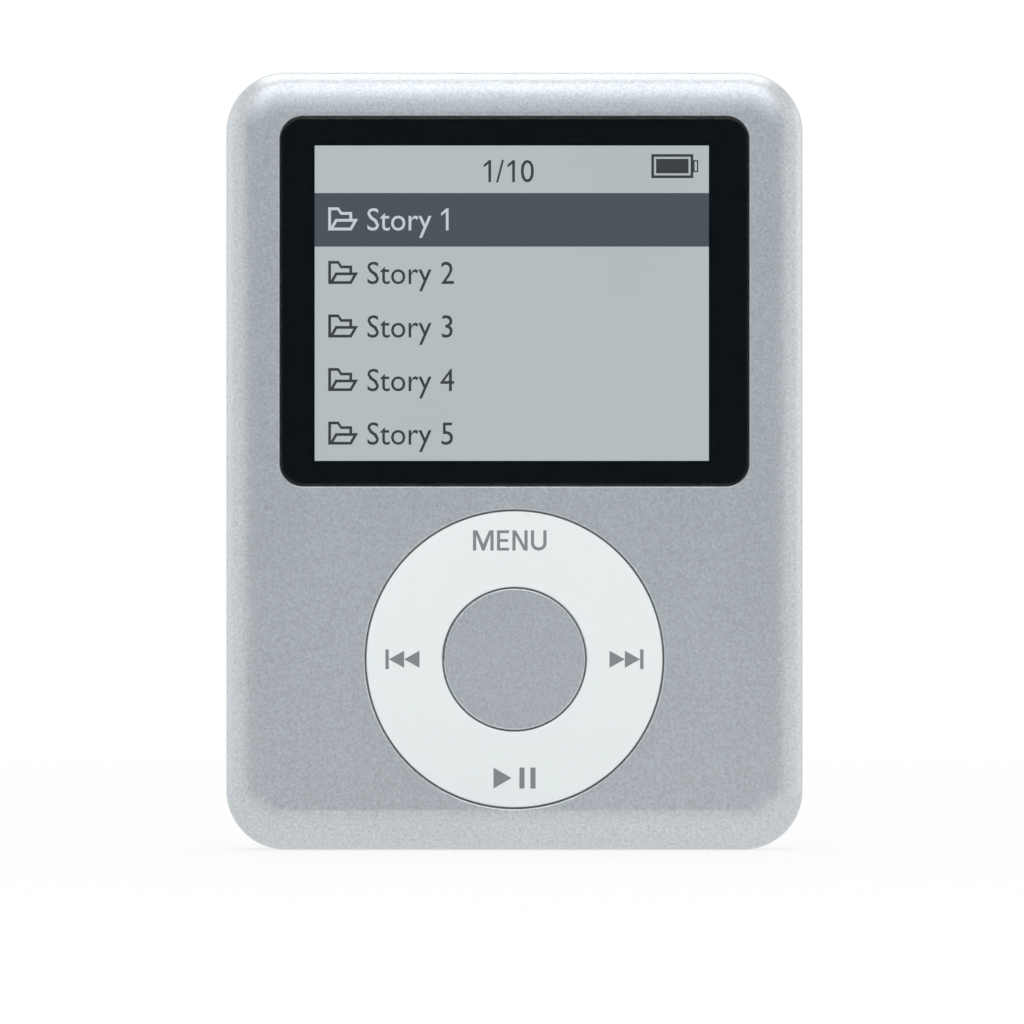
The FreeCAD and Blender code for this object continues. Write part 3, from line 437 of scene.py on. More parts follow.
def screen_light(name, colour):
    """Light of one colour with a faint pixel grid and a slow change over the screen."""
    material, shader = new_finish(name, screen_colour(12, 13, 14), roughness=0.55, marks=0.0)
    shader.inputs["Specular IOR Level"].default_value = 0.1
    tree = material.node_tree
    place = tree.nodes.new("ShaderNodeTexCoord")
    parts = tree.nodes.new("ShaderNodeSeparateXYZ")
    tree.links.new(place.outputs["Object"], parts.inputs[0])
    wave_rate = math.pi * pixels_across / screen_width
    lines = []
    for axis in ("X", "Z"):
        wave = math_node(tree, "MULTIPLY", parts.outputs[axis], wave_rate)
        wave = math_node(tree, "SINE", wave, 0.0)
        lines.append(math_node(tree, "ABSOLUTE", wave, 0.0))
    both = math_node(tree, "MULTIPLY", lines[0], lines[1])
    shade = math_node(tree, "MULTIPLY", both, grid_depth)
    cloud = tree.nodes.new("ShaderNodeTexNoise")
    cloud.inputs["Scale"].default_value = 70.0
    cloud.inputs["Detail"].default_value = 1.0
    tree.links.new(place.outputs["Object"], cloud.inputs["Vector"])
    slow = math_node(tree, "MULTIPLY", cloud.outputs["Fac"], cloud_depth)
    level = math_node(tree, "ADD", shade, slow)
    level = math_node(tree, "ADD", level, 1.0 - grid_mean * grid_depth - cloud_depth / 2)
    glow = tree.nodes.new("ShaderNodeVectorMath")
    glow.operation = "SCALE"
    glow.inputs[0].default_value = colour[:3]
    tree.links.new(level, glow.inputs["Scale"])
    tree.links.new(glow.outputs[0], shader.inputs["Emission Color"])
    shader.inputs["Emission Strength"].default_value = window_loss
    return material


finishes["screen_film"] = screen_light("lit screen", screen_colour(180, 188, 190))
dark_row_light = screen_light("dark row", screen_colour(73, 80, 88))
dark_word_light = screen_light("dark words", screen_colour(58, 60, 64))
pale_word_light = screen_light("pale words", screen_colour(196, 204, 208))
print("the screen has four lights, for its ground, its dark row and its words")

# %% [markdown]
# ### Mouldings, foam and tape
#
# The ring is white plastic with a satin skin. The rest hides inside: a black carrier with
# the short wavy grain of glass-filled nylon, white reflectors, closed foam and fibrous tape.

# %% Plastic parts and soft sheets
keep_finish(
    "ring_white",
    "white ring",
    screen_colour(229, 235, 235),
    roughness=0.38,
    grain=6500.0,
    relief=0.05,
    drift=0.012,
)
keep_finish(
    "black_plastic",
    "black moulding",
    screen_colour(30, 30, 32),
    roughness=0.5,
    grain=4200.0,
    stretch=(1.0, 1.0, 0.35),
    relief=0.12,
    speckle=0.25,
)
keep_finish(
    "white_plastic",
    "white moulding",
    screen_colour(226, 226, 222),
    roughness=0.45,
    grain=5200.0,
    relief=0.06,
)
keep_finish(
    "white_sheet",
    "white sheet",
    screen_colour(234, 235, 236),
    roughness=0.6,
    grain=2600.0,
    relief=0.03,
)
keep_finish(
    "grey_foam",
    "closed foam",
    screen_colour(58, 58, 61),
    roughness=0.9,
    grain=3600.0,
    sharpness=0.9,
    relief=0.6,
    speckle=0.5,
)
keep_finish(
    "tape_white",
    "paper tape",
    screen_colour(224, 219, 204),
    roughness=0.75,
    grain=3400.0,
    stretch=(0.25, 1.0, 1.0),
    relief=0.2,
    speckle=0.2,
)
print("moulded and soft finishes are ready")

# %% [markdown]
# ### Metals inside
#
# Sheet steel keeps the lines of the rolls that made it, so its grain is drawn out along one
# axis. Zinc on the screws is mottled, and gold on the contacts is smooth. Gold that has been
# rubbed by a plug is brighter, which the hand marks give.

# %% Sheet steel, screws, gold and foil
keep_finish(
    "steel_sheet",
    "rolled steel",
    screen_colour(186, 187, 188),
    roughness=0.3,
    metallic=1.0,
    grain=2600.0,
    stretch=(0.08, 1.0, 1.0),
    relief=0.14,
    speckle=0.18,
)
keep_finish(
    "screw_steel",
    "zinc plate",
    screen_colour(172, 174, 178),
    roughness=0.34,
    metallic=1.0,
    grain=2400.0,
    sharpness=0.8,
    relief=0.12,
    speckle=0.25,
)
keep_finish(
    "gold_contact",
    "gold plate",
    screen_colour(226, 188, 112),
    roughness=0.22,
    metallic=1.0,
    grain=3000.0,
    relief=0.05,
    speckle=0.1,
    marks=0.06,
)
keep_finish(
    "battery_foil",
    "foil pouch",
    screen_colour(196, 198, 201),
    roughness=0.36,
    metallic=0.85,
    grain=420.0,
    sharpness=0.2,
    relief=0.5,
    drift=0.06,
)
print("metal finishes are ready")

# %% [markdown]
# ### The board, the ribbon and the parts on them
#
# A board is green because of its lacquer, and the copper tracks under it show as a slightly
# paler green. Straight stripes side by side stand for those tracks. The same stripes, only
# narrower, are the copper lines in the ribbon.


# %% Tracks under lacquer and lines in the ribbon
def add_lines(material, shader, pale, dark, pitch, axis, share):
    """Stripes of two colours in place of the finish's own. share is that of the pale ones."""
    tree = material.node_tree
    place = tree.nodes.new("ShaderNodeTexCoord")
    parts = tree.nodes.new("ShaderNodeSeparateXYZ")
    tree.links.new(place.outputs["Object"], parts.inputs[0])
    along = math_node(tree, "DIVIDE", parts.outputs[axis], pitch)
    step = math_node(tree, "FRACT", along, 0.0)
    mask = math_node(tree, "GREATER_THAN", step, share)
    mix = tree.nodes.new("ShaderNodeMix")
    mix.data_type = "RGBA"
    mix.inputs["A"].default_value = pale
    mix.inputs["B"].default_value = dark
    tree.links.new(mask, mix.inputs["Factor"])
    tree.links.new(mix.outputs["Result"], shader.inputs["Base Color"])


board_shader = keep_finish(
    "board_green",
    "green lacquer",
    screen_colour(18, 96, 52),
    roughness=0.32,
    grain=900.0,
    relief=0.08,
    speckle=0.3,
)
add_lines(
    finishes["board_green"],
    board_shader,
    screen_colour(34, 118, 68),
    screen_colour(16, 88, 48),
    pitch=0.9 * MM,
    axis="X",
    share=0.35,
)
ribbon_shader = keep_finish(
    "ribbon_amber",
    "amber film",
    screen_colour(188, 128, 62),
    roughness=0.3,
    grain=2400.0,
    relief=0.05,
)
add_lines(
    finishes["ribbon_amber"],
    ribbon_shader,
    screen_colour(206, 142, 66),
    screen_colour(158, 98, 44),
    pitch=0.4 * MM,
    axis="X",
    share=0.5,
)
keep_finish(
    "switch_brown",
    "pressed board",
    screen_colour(124, 90, 56),
    roughness=0.7,
    grain=2200.0,
    stretch=(0.3, 1.0, 1.0),
    relief=0.2,
    speckle=0.35,
)
print("board and ribbon finishes are ready")

# %% Chips, coil, capacitors, lamps and wires
keep_finish(
    "chip_black",
    "chip epoxy",
    screen_colour(34, 34, 35),
    roughness=0.55,
    grain=7000.0,
    sharpness=0.7,
    relief=0.18,
    speckle=0.3,
)
keep_finish(
    "inductor_grey",
    "pressed ferrite",
    screen_colour(68, 69, 72),
    roughness=0.65,
    grain=4800.0,
    relief=0.3,
    speckle=0.4,
)
keep_finish(
    "capacitor_tan",
    "fired ceramic",
    screen_colour(166, 134, 98),
    roughness=0.5,
    grain=5200.0,
    relief=0.12,
    speckle=0.25,
)
keep_finish(
    "lamp_yellow",
    "lamp gel",
    screen_colour(236, 224, 158),
    roughness=0.35,
    grain=3000.0,
    relief=0.05,
    speckle=0.12,
)
keep_finish(
    "lead_red",
    "red silicone",
    screen_colour(182, 28, 26),
    roughness=0.5,
    grain=4200.0,
    relief=0.08,
    speckle=0.12,
)
keep_finish(
    "lead_black",
    "black silicone",
    screen_colour(26, 26, 27),
    roughness=0.5,
    grain=4200.0,
    relief=0.08,
    speckle=0.2,
)
print(len(finishes), "finishes in all")

# %% [markdown]
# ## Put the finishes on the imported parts
#
# The record says which material slot each part takes. The loop looks that up, so that a part
# that changes its slot in the record also changes its finish here.

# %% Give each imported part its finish
slot_names = {item["slot"] for item in frame["record"]["materials"]}
print("slots without a finish:", sorted(slot_names - set(finishes)))
dressed = 0
for part in nodes.values():
    finish = finishes.get(part.material_slots[0].material.name)
    if finish:
        dressed += 1
        for material_slot in part.material_slots:
            material_slot.material = finish
print(dressed, "of", len(nodes), "packed parts have their finish")

# %% [markdown]
# ## Flat shapes with a little thickness
#
# A printed mark or a figure on a screen is thin, but it still has a front, a back and sides.
# Each one starts as a filled circle with as many corners as the shape needs. Its corners are
# moved to their places, and the face is then pushed out towards the viewer. An outline is
# the same face with an inset, whose middle is taken away before the push.

# %% Helpers for flat shapes
print_height = 0.012 * MM


def clear_selection():
    """Back to object mode with nothing selected, as each operator acts on all that is."""
    if bpy.context.mode != "OBJECT":
        bpy.ops.object.mode_set(mode="OBJECT")
    bpy.ops.object.select_all(action="DESELECT")


def close_up(piece):
    """Merge doubled points and turn all faces outwards."""
    bpy.context.view_layer.objects.active = piece
    bpy.ops.object.mode_set(mode="EDIT")
    bpy.ops.mesh.select_all(action="SELECT")
    bpy.ops.mesh.remove_doubles(threshold=1e-7)
    bpy.ops.mesh.normals_make_consistent(inside=False)
    bpy.ops.object.mode_set(mode="OBJECT")


def flat_shape(name, corners, front, stroke=None):
    """A thin upright shape through the corners (x, z), whose back lies at y = front."""
    clear_selection()
    bpy.ops.mesh.primitive_circle_add(vertices=len(corners), radius=MM, fill_type="NGON")
    piece = bpy.context.object
    piece.name = name
    for point, (x, z) in zip(piece.data.vertices, corners):
        point.co = (x, front, z)
    bpy.ops.object.mode_set(mode="EDIT")
    bpy.ops.mesh.select_all(action="SELECT")
    if stroke:
        bpy.ops.mesh.inset(thickness=stroke, use_even_offset=True)
        bpy.ops.mesh.delete(type="FACE")
        bpy.ops.mesh.select_all(action="SELECT")
    bpy.ops.mesh.extrude_region_move(TRANSFORM_OT_translate={"value": (0, -print_height, 0)})
    close_up(piece)
    return piece


def box_corners(x_low, x_high, z_low, z_high):
    """The four corners of an upright rectangle."""
    return [(x_low, z_low), (x_high, z_low), (x_high, z_high), (x_low, z_high)]


def join_pieces(name, parts):
    """Join finished shapes into one piece."""
    clear_selection()
    for part in parts:
        part.select_set(True)
    bpy.context.view_layer.objects.active = parts[0]
    if len(parts) > 1:
        bpy.ops.object.join()
    piece = bpy.context.object
    piece.name = name
    return piece


print("a printed mark stands", print_height / MM, "mm proud")

# %% [markdown]
# ## Words
#
# Blender's own built-in font is drawn from curves, so a word can be set as text, turned into
# a mesh and then stood upright. Its size is the height of a whole line, and what can be
# measured on a screen is a capital, so a capital H is made first to find how the two relate.


# %% A helper for words
def text_mesh(words, size):
    """Words as a mesh that still lies flat, at the middle of the scene."""
    clear_selection()
    bpy.ops.object.text_add()
    text = bpy.context.object
    text.data.body = words
    text.data.size = size
    text.data.extrude = print_height / 2
    text.data.resolution_u = 3
    bpy.ops.object.convert(target="MESH")
    return bpy.context.object


sample = text_mesh("H", 1.0)
capital_share = max(point.co.y for point in sample.data.vertices)
bpy.data.objects.remove(sample)
print("a capital is", round(capital_share, 3), "of the font's size")


def upright_words(name, words, capital, x, z, front, narrow):
    """Words that stand upright and face the viewer, with their baseline at z."""
    piece = text_mesh(words, capital / capital_share)
    move = Matrix.Translation((x, front - print_height / 2, z))
    stand = Matrix.Rotation(math.pi / 2, 4, "X")
    piece.data.transform(move @ stand @ Matrix.Diagonal((narrow, 1.0, 1.0, 1.0)))
    piece.name = name
    close_up(piece)
    return piece


# %% [markdown]
# ## The picture on the screen
#
# The top strip holds a counter and a battery sign. Five rows lie below it, and the first one
# is picked out: its ground is dark and its sign and words are pale. Each row starts with the
# sign of an open folder. The titles are plain numbered ones.

# %% Lay out the rows
header_height = 4.22 * MM
row_count = 5
row_height = (screen_top - screen_bottom - header_height) / row_count
baseline_rise = 1.44 * MM
icon_left = screen_left + 1.2 * MM
title_left = screen_left + 4.57 * MM
capital_height = 1.96 * MM
picture_front = film_low.y - 0.002 * MM
word_front = picture_front - 1.5 * print_height
letter_width = 0.93


def row_baseline(row):
    """The height that the words of a row stand on. Row 0 is the top one."""
    return screen_top - header_height - (row + 1) * row_height + baseline_rise


print("rows are", round(row_height / MM, 2), "mm high")

# %% [markdown]
# The built-in font draws a 1 as a bare stroke, which reads as a letter in a counter. So this figure is
# drawn from given corners as one flat shape: an upright stem with a short sloping flag.

# %% Make the figure one
figure_stem = 0.24 * MM
figure_reach = 0.66 * MM
figure_slope = 0.42 * MM
word_space = 0.85 * MM


def figure_one(right, baseline):
    """A 1 with a flag. right is the far edge of its stem."""
    top = baseline + capital_height
    corners = [
        (right - figure_stem, baseline),
        (right, baseline),
        (right, top),
        (right - 0.8 * figure_stem, top),
        (right - figure_reach, top - figure_slope),
        (right - figure_reach, top - figure_slope - figure_stem),
        (right - figure_stem, top - 0.8 * figure_slope),
    ]
    return flat_shape("figure", corners, word_front)


print("a 1 is", round(figure_reach / MM, 2), "mm wide with its flag")


# %% Make the folder sign
def folder_sign(name, x, z):
    """An open folder in outline: the flap, and what shows of the back above it."""
    line = 0.25 * MM
    width = 2.66 * MM
    height = 2.05 * MM
    flap_top = z + 0.5 * height
    shoulder = z + 0.8 * height
    top = z + height
    right = x + 0.8 * width
    tab_end = x + 0.35 * width
    tab_foot = x + 0.45 * width
    outside = [
        (x, z),
        (x, top),
        (tab_end, top),
        (tab_foot, shoulder),
        (right, shoulder),
        (right, flap_top),
    ]
    inside = [
        (right - line, flap_top),
        (right - line, shoulder - line),
        (tab_foot - 0.4 * line, shoulder - line),
        (tab_end - 0.4 * line, top - line),
        (x + line, top - line),
        (x + line, z),
    ]
    flap = [
        (x + 0.02 * width, z),
        (x + 0.78 * width, z),
        (x + width, flap_top),
        (x + 0.24 * width, flap_top),
    ]
    return [flat_shape(name, flap, word_front, line), flat_shape(name, outside + inside, word_front)]


# %% Put the picture together
def finish_piece(piece, material, body):
    """Give a piece its finish and the body that it moves with."""
    piece.data.materials.clear()
    piece.data.materials.append(material)
    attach(piece, body)
    print(piece.name, "has", len(piece.data.polygons), "faces and rides on", body)


row_top = screen_top - header_height
row_corners = box_corners(screen_left, screen_right, row_top - row_height, row_top)
dark_row = flat_shape("screen_dark_row", row_corners, picture_front)
finish_piece(dark_row, dark_row_light, "housing")

dark_signs = []
dark_titles = []
for row in range(row_count):
    baseline = row_baseline(row)
    signs = folder_sign("screen_folder", icon_left, baseline)
    words = "Story" if row == 0 else f"Story {row + 1}"
    title = upright_words("title", words, capital_height, title_left, baseline, word_front, letter_width)
    if row == 0:
        title_right = max(point.co.x for point in title.data.vertices)
        figure = figure_one(title_right + word_space + figure_reach, baseline)
        pale_sign = join_pieces("screen_picked_folder", signs)
        pale_title = join_pieces("screen_picked_title", [title, figure])
    else:
        dark_signs.extend(signs)
        dark_titles.append(title)

counter_baseline = screen_top - 3.25 * MM
counter_middle = (screen_left + screen_right) / 2
counter_ones = (-1.84 * MM, 0.28 * MM)
counter_signs = (("/", -1.42 * MM), ("0", 0.72 * MM))
for right in counter_ones:
    dark_titles.append(figure_one(counter_middle + right, counter_baseline))
for words, left in counter_signs:
    x = counter_middle + left
    sign = upright_words("counter", words, capital_height, x, counter_baseline, word_front, letter_width)
    dark_titles.append(sign)
finish_piece(pale_sign, pale_word_light, "housing")
finish_piece(pale_title, pale_word_light, "housing")
finish_piece(join_pieces("screen_folders", dark_signs), dark_word_light, "housing")
finish_piece(join_pieces("screen_titles", dark_titles), dark_word_light, "housing")

# %% Make the battery sign
battery_right = screen_right - 1.38 * MM
battery_left = battery_right - 3.73 * MM
battery_top = screen_top - 0.76 * MM
battery_bottom = battery_top - 2.13 * MM
battery_line = 0.24 * MM
fill_gap = 0.42 * MM
terminal_width = 0.44 * MM
terminal_height = 1.07 * MM
battery_middle = (battery_top + battery_bottom) / 2
battery_shapes = [
    flat_shape(
        "battery_outline",
        box_corners(battery_left, battery_right, battery_bottom, battery_top),
        word_front,
        battery_line,
    ),
    flat_shape(
        "battery_fill",
        box_corners(
            battery_left + fill_gap,
            battery_right - fill_gap,
            battery_bottom + fill_gap,
            battery_top - fill_gap,
        ),
        word_front,
    ),
    flat_shape(
        "battery_terminal",
        box_corners(
            battery_right,
            battery_right + terminal_width,
            battery_middle - terminal_height / 2,
            battery_middle + terminal_height / 2,
        ),
        word_front,
        battery_line / 2,
    ),
]
battery_sign = join_pieces("screen_battery_sign", battery_shapes)
finish_piece(battery_sign, dark_word_light, "housing")

# %% [markdown]
# ## The window
#
# A moulded window has a soft edge all round, which catches the light as one thin line. The
# packed plate has an edge that is only just broken, so a new one is made in its place: a plane
# of its outline whose corners are rounded in edit mode, pushed back to its thickness, and its
# front edge bevelled. It stops just short of the printed film, so that no two faces lie in one
# plane. The large front and back stay flat shaded. Smoothed into the bevel, the whole window
# would mirror the room as if it were bent.

# %% Model the window
lens_low, lens_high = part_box("window_lens")
window_corner = 2.0 * MM
window_edge = 0.2 * MM
film_clearance = 0.01 * MM
corner_steps = 12
edge_steps = 4
smooth_below = math.radians(40)
straight_on = 0.999


def make_window():
    """The clear plate with rounded corners and a soft front edge."""
    clear_selection()
    width = lens_high.x - lens_low.x
    height = lens_high.z - lens_low.z
    middle = (lens_low + lens_high) / 2
    bpy.ops.mesh.primitive_plane_add(size=1.0)
    window = bpy.context.object
    window.name = "clear_window"
    for point in window.data.vertices:
        point.co = (middle.x + point.co.x * width, lens_low.y, middle.z + point.co.y * height)
    bpy.ops.object.mode_set(mode="EDIT")
    bpy.ops.mesh.select_all(action="SELECT")
    bpy.ops.mesh.bevel(offset=window_corner, segments=corner_steps, affect="VERTICES")
    bpy.ops.mesh.select_all(action="SELECT")
    depth = lens_high.y - lens_low.y - film_clearance
    bpy.ops.mesh.extrude_region_move(TRANSFORM_OT_translate={"value": (0, depth, 0)})
    bpy.ops.mesh.select_all(action="SELECT")
    bpy.ops.mesh.normals_make_consistent(inside=False)
    bpy.ops.mesh.select_all(action="DESELECT")
    bpy.ops.object.mode_set(mode="OBJECT")
    for edge in window.data.edges:
        ends = [window.data.vertices[index].co.y for index in edge.vertices]
        edge.select = max(ends) < lens_low.y + depth / 2
    bpy.ops.object.mode_set(mode="EDIT")
    bpy.ops.mesh.bevel(offset=window_edge, segments=edge_steps)
    bpy.ops.object.mode_set(mode="OBJECT")
    bpy.ops.object.shade_smooth_by_angle(angle=smooth_below)
    for face in window.data.polygons:
        if abs(face.normal.y) > straight_on:
            face.use_smooth = False
    return window


window = make_window()
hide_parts("window_lens")
finish_piece(window, finishes["window_clear"], "housing")

# %% [markdown]
# ## Marks on the ring
#
# Four marks are printed in grey on the white ring: a word for the menu at the top, and the
# usual triangles and bars for the story before, the next story, and play or pause. They ride
# on the ring, so they tip with it when a key is pressed. The strokes of the word are heavier
# than those of the built-in font, so its letters are drawn as shapes.

# %% Grey print and the four marks
grey_print, _ = new_finish(
    "grey print",
    screen_colour(126, 129, 131),
    roughness=0.5,
    grain=6000.0,
    relief=0.08,
    speckle=0.12,
)
mark_front = ring_low.y + 0.002 * MM
mark_circle_upright = 10.55 * MM
mark_circle_across = 9.95 * MM
mark_height = 1.52 * MM
bar_height = 1.75 * MM
bar_width = 0.3 * MM
triangle_length = 1.36 * MM


def triangle(x, z, length, height):
    """A triangle that points to the right, or to the left if its length is negative."""
    corners = [(x, z - height / 2), (x + length, z), (x, z + height / 2)]
    return flat_shape("triangle", corners, mark_front)


def bar(x, z, width, height):
    """An upright bar about a middle."""
    corners = box_corners(x - width / 2, x + width / 2, z - height / 2, z + height / 2)
    return flat_shape("bar", corners, mark_front)


def skip_mark(name, side):
    """Two triangles and a bar. side is 1 for the next story and -1 for the one before."""
    middle = ring_x + side * mark_circle_across
    start = middle - side * (triangle_length + bar_width / 2)
    length = side * triangle_length
    shapes = [
        triangle(start, ring_z, length, mark_height),
        triangle(start + length, ring_z, length, mark_height),
        bar(start + 2 * length + side * bar_width / 2, ring_z, bar_width, bar_height),
    ]
    return join_pieces(name, shapes)


def play_mark():
    """A triangle for play and two bars for pause."""
    z = ring_z - mark_circle_upright
    height = 1.86 * MM
    play_length = 1.6 * MM
    pause_width = 0.45 * MM
    pause_pitch = 0.98 * MM
    pause_start = 2.3 * MM
    half_width = 1.86 * MM
    left = ring_x - half_width
    first_bar = left + pause_start + pause_width / 2
    shapes = [
        triangle(left, z, play_length, height),
        bar(first_bar, z, pause_width, height),
        bar(first_bar + pause_pitch, z, pause_width, height),
    ]
    return join_pieces("key_mark_play", shapes)


letter_stroke = 0.28 * MM
letter_gap = 0.3 * MM
word_shift = 0.42 * MM


def letter_m(width, height):
    """Corners of an M, whose middle comes down to the line."""
    stroke = letter_stroke
    left = [(0, 0), (stroke, 0), (stroke, 0.78 * height), (width / 2 - 0.4 * stroke, 0)]
    right = [(width - x, z) for x, z in reversed(left)]
    notch = [(width - 1.4 * stroke, height), (width / 2, 0.32 * height), (1.4 * stroke, height)]
    return left + right + [(width, height)] + notch + [(0, height)]


def letter_e(width, height):
    """Corners of an E with three arms."""
    arm = 0.9 * letter_stroke
    stem = letter_stroke
    low = height / 2 - arm / 2
    high = height / 2 + arm / 2
    reach = 0.92 * width
    lower = [(0, 0), (width, 0), (width, arm), (stem, arm), (stem, low), (reach, low)]
    upper = [(reach, high), (stem, high), (stem, height - arm), (width, height - arm)]
    return lower + upper + [(width, height), (0, height)]


def letter_n(width, height):
    """Corners of an N."""
    stroke = letter_stroke
    left = [(0, 0), (stroke, 0), (stroke, 0.74 * height), (width - 1.15 * stroke, 0), (width, 0)]
    return left + [(width - x, height - z) for x, z in left]


def letter_u(width, height):
    """Corners of a U, with its foot as two half rounds."""
    foot = 0.36 * height
    steps = 10
    inner_width = width - 2 * letter_stroke
    outside = []
    inside = []
    for step in range(steps + 1):
        angle = math.pi * step / steps
        across = math.cos(angle)
        down = math.sin(angle)
        outside.append((width / 2 * (1 - across), foot * (1 - down)))
        inside.append((width / 2 + inner_width / 2 * across, foot - (foot - letter_stroke) * down))
    right_end = [(width, height), (width - letter_stroke, height)]
    return [(0, height)] + outside + right_end + inside + [(letter_stroke, height)]


def menu_word():
    """The word for the menu, letter by letter, each with its own width."""
    height = 1.8 * MM
    letters = [
        (letter_m, 1.83 * MM),
        (letter_e, 1.07 * MM),
        (letter_n, 1.35 * MM),
        (letter_u, 1.38 * MM),
    ]
    whole = sum(width for _, width in letters) + letter_gap * (len(letters) - 1)
    x = ring_x - whole / 2 - word_shift
    z = ring_z + mark_circle_upright - height / 2
    shapes = []
    for draw, width in letters:
        corners = [(x + across, z + up) for across, up in draw(width, height)]
        shapes.append(flat_shape("letter", corners, mark_front))
        x += width + letter_gap
    return join_pieces("key_mark_menu", shapes)


key_marks = [
    menu_word(),
    skip_mark("key_mark_previous", -1),
    skip_mark("key_mark_next", 1),
    play_mark(),
]
for mark in key_marks:
    finish_piece(mark, grey_print, "ring")

# %% [markdown]
# ## The studio
#
# The player stands on a plain white floor in a white room. What the camera, the metal and
# the glass see of that room is plain white, while the light that it gives stays soft. A
# dark card stands round the camera, as in any studio that has to show black glass: the flat
# window mirrors that card and so looks black, while the rolled edges mirror the bright room.
# Light that was thrown back inside the window leaves it as a transmission ray, so the card
# is there for those rays too.

# %% The room
card_inner = math.radians(18)
card_outer = math.radians(44)
card_colour = (0.06, 0.1, 0.13, 1.0)
white = (1.0, 1.0, 1.0, 1.0)
room_light = 0.76


def build_room():
    """A world that is white to the eye, with a dark card round the camera's side."""
    world = bpy.data.worlds.new("white room")
    bpy.context.scene.world = world
    world.use_nodes = True
    tree = world.node_tree
    tree.nodes.clear()
    ray = tree.nodes.new("ShaderNodeLightPath")
    place = tree.nodes.new("ShaderNodeTexCoord")
    toward = tree.nodes.new("ShaderNodeVectorMath")
    toward.operation = "DOT_PRODUCT"
    toward.inputs[1].default_value = (0.0, -1.0, 0.0)
    tree.links.new(place.outputs["Generated"], toward.inputs[0])
    edge = tree.nodes.new("ShaderNodeMapRange")
    edge.interpolation_type = "SMOOTHSTEP"
    edge.inputs["From Min"].default_value = math.cos(card_inner)
    edge.inputs["From Max"].default_value = math.cos(card_outer)
    tree.links.new(toward.outputs["Value"], edge.inputs["Value"])
    glossy = ray.outputs["Is Glossy Ray"]
    mirrored = math_node(tree, "MAXIMUM", glossy, ray.outputs["Is Transmission Ray"])
    other_ray = math_node(tree, "SUBTRACT", 1.0, mirrored)
    bright = math_node(tree, "MAXIMUM", edge.outputs["Result"], other_ray)
    colour = tree.nodes.new("ShaderNodeMix")
    colour.data_type = "RGBA"
    colour.inputs["A"].default_value = card_colour
    colour.inputs["B"].default_value = white
    tree.links.new(bright, colour.inputs["Factor"])
    seen = math_node(tree, "MAXIMUM", ray.outputs["Is Camera Ray"], mirrored)
    level = math_node(tree, "MAXIMUM", seen, room_light)
    glow = tree.nodes.new("ShaderNodeBackground")
    tree.links.new(colour.outputs["Result"], glow.inputs["Color"])
    tree.links.new(level, glow.inputs["Strength"])
    end = tree.nodes.new("ShaderNodeOutputWorld")
    tree.links.new(glow.outputs[0], end.inputs["Surface"])
    return world


room = build_room()
print("built the", room.name)

# %% The floor
floor_size = 8.0
floor_gap = 0.02 * MM
floor_glow = 0.75
glow_near = 0.1
glow_far = 0.4


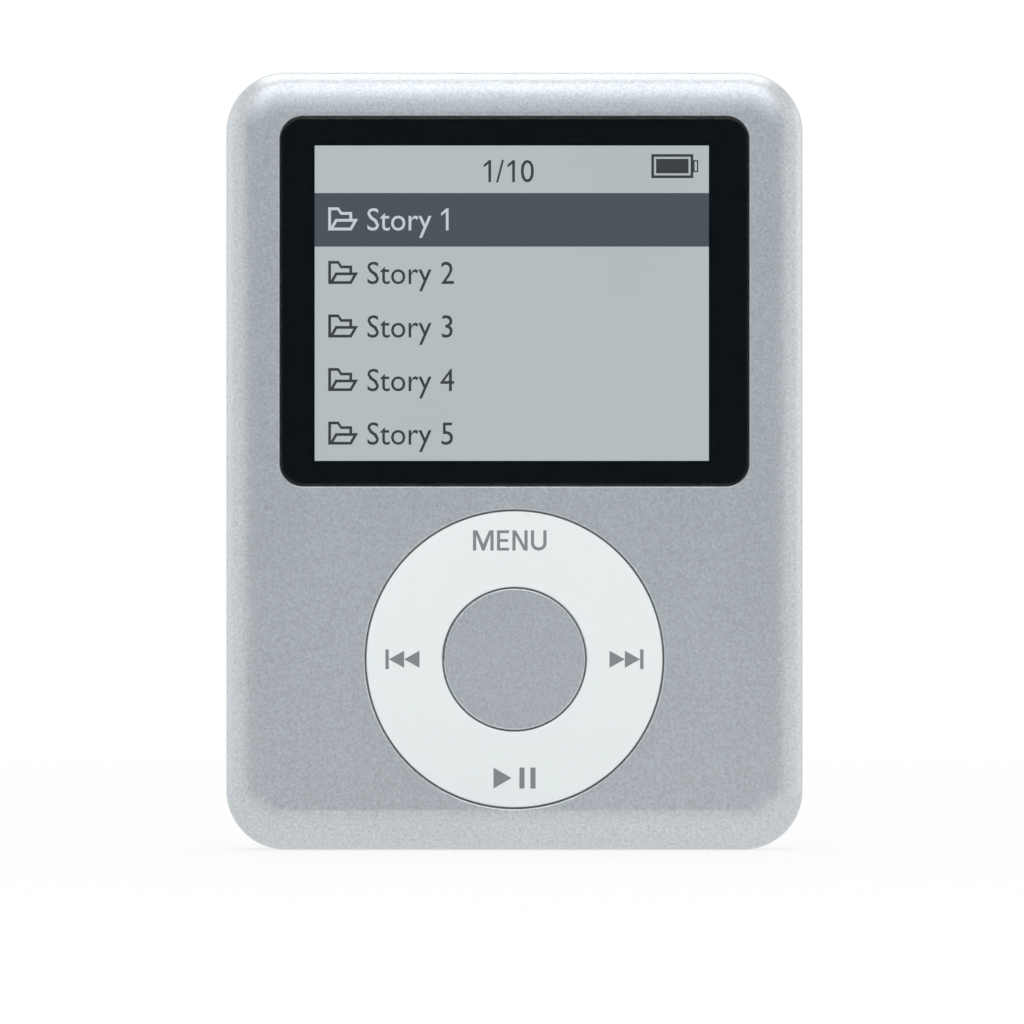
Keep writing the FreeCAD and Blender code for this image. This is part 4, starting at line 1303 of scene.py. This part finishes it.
def build_floor():
    """A pale floor that looks as white as the room, but for the player's soft shadow."""
    clear_selection()
    bpy.ops.mesh.primitive_plane_add(size=floor_size, location=(0.0, 0.0, case_low.z - floor_gap))
    floor = bpy.context.object
    floor.name = "studio_floor"
    floor.data.transform(Matrix.Translation(floor.location))
    floor.location = (0.0, 0.0, 0.0)
    material = bpy.data.materials.new("floor paint")
    material.use_nodes = True
    tree = material.node_tree
    shader = tree.nodes["Principled BSDF"]
    shader.inputs["Base Color"].default_value = (0.9, 0.9, 0.9, 1.0)
    shader.inputs["Roughness"].default_value = 0.9
    ray = tree.nodes.new("ShaderNodeLightPath")
    camera_ray = ray.outputs["Is Camera Ray"]
    seen = math_node(tree, "MAXIMUM", camera_ray, ray.outputs["Is Transmission Ray"])
    place = tree.nodes.new("ShaderNodeTexCoord")
    away = tree.nodes.new("ShaderNodeVectorMath")
    away.operation = "LENGTH"
    tree.links.new(place.outputs["Object"], away.inputs[0])
    fade = tree.nodes.new("ShaderNodeMapRange")
    fade.interpolation_type = "SMOOTHSTEP"
    fade.inputs["From Min"].default_value = glow_near
    fade.inputs["From Max"].default_value = glow_far
    fade.inputs["To Min"].default_value = floor_glow
    fade.inputs["To Max"].default_value = 1.0
    tree.links.new(away.outputs["Value"], fade.inputs["Value"])
    share = math_node(tree, "MULTIPLY", seen, fade.outputs["Result"])
    share = math_node(tree, "MAXIMUM", share, ray.outputs["Is Glossy Ray"])
    glow = tree.nodes.new("ShaderNodeEmission")
    blend = tree.nodes.new("ShaderNodeMixShader")
    tree.links.new(share, blend.inputs["Fac"])
    tree.links.new(shader.outputs[0], blend.inputs[1])
    tree.links.new(glow.outputs[0], blend.inputs[2])
    tree.links.new(blend.outputs[0], tree.nodes["Material Output"].inputs["Surface"])
    floor.data.materials.append(material)
    return floor


floor = build_floor()
print("built the", floor.name)

# %% The lamps
target = Vector((0.0, 0.0, (case_low.z + case_high.z) / 2))


def soft_lamp(name, place, size, brightness):
    """A square soft box that looks at the player. brightness is that of its face."""
    data = bpy.data.lights.new(name, "AREA")
    data.shape = "SQUARE"
    data.size = size
    data.energy = brightness * math.pi * size**2
    lamp = bpy.data.objects.new(name, data)
    lamp.location = place
    look = target - Vector(place)
    lamp.rotation_euler = look.to_track_quat("-Z", "Y").to_euler()
    bpy.context.scene.collection.objects.link(lamp)


soft_lamp("lamp_above", (0.0, 0.1, 0.62), 0.6, 0.9)
soft_lamp("lamp_front_high", (0.0, -0.82, 0.6), 1.0, 0.85)
soft_lamp("lamp_left", (-0.62, 0.1, 0.12), 0.5, 0.2)
soft_lamp("lamp_right", (0.62, 0.1, 0.12), 0.5, 0.3)
print("four soft lamps look at", tuple(round(value, 3) for value in target))

# %% [markdown]
# ## The camera
#
# The picture was taken from straight in front and from far away, so a long lens is used. Its
# length follows from how much of the face's plane should fill the square picture.

# %% The camera
view_width = 90.94 * MM
view_distance = 0.8
camera_x = -0.22 * MM
camera_z = 30.06 * MM
camera_data = bpy.data.cameras.new("camera")
camera_data.sensor_width = 36.0
camera_data.lens = camera_data.sensor_width * view_distance / view_width
camera = bpy.data.objects.new("camera", camera_data)
camera.location = (camera_x, case_low.y - view_distance, camera_z)
camera.rotation_euler = (math.pi / 2, 0.0, 0.0)
bpy.context.scene.collection.objects.link(camera)
bpy.context.scene.camera = camera
bpy.context.scene.view_settings.view_transform = "Standard"
print("the lens is", round(camera_data.lens, 1), "mm long")
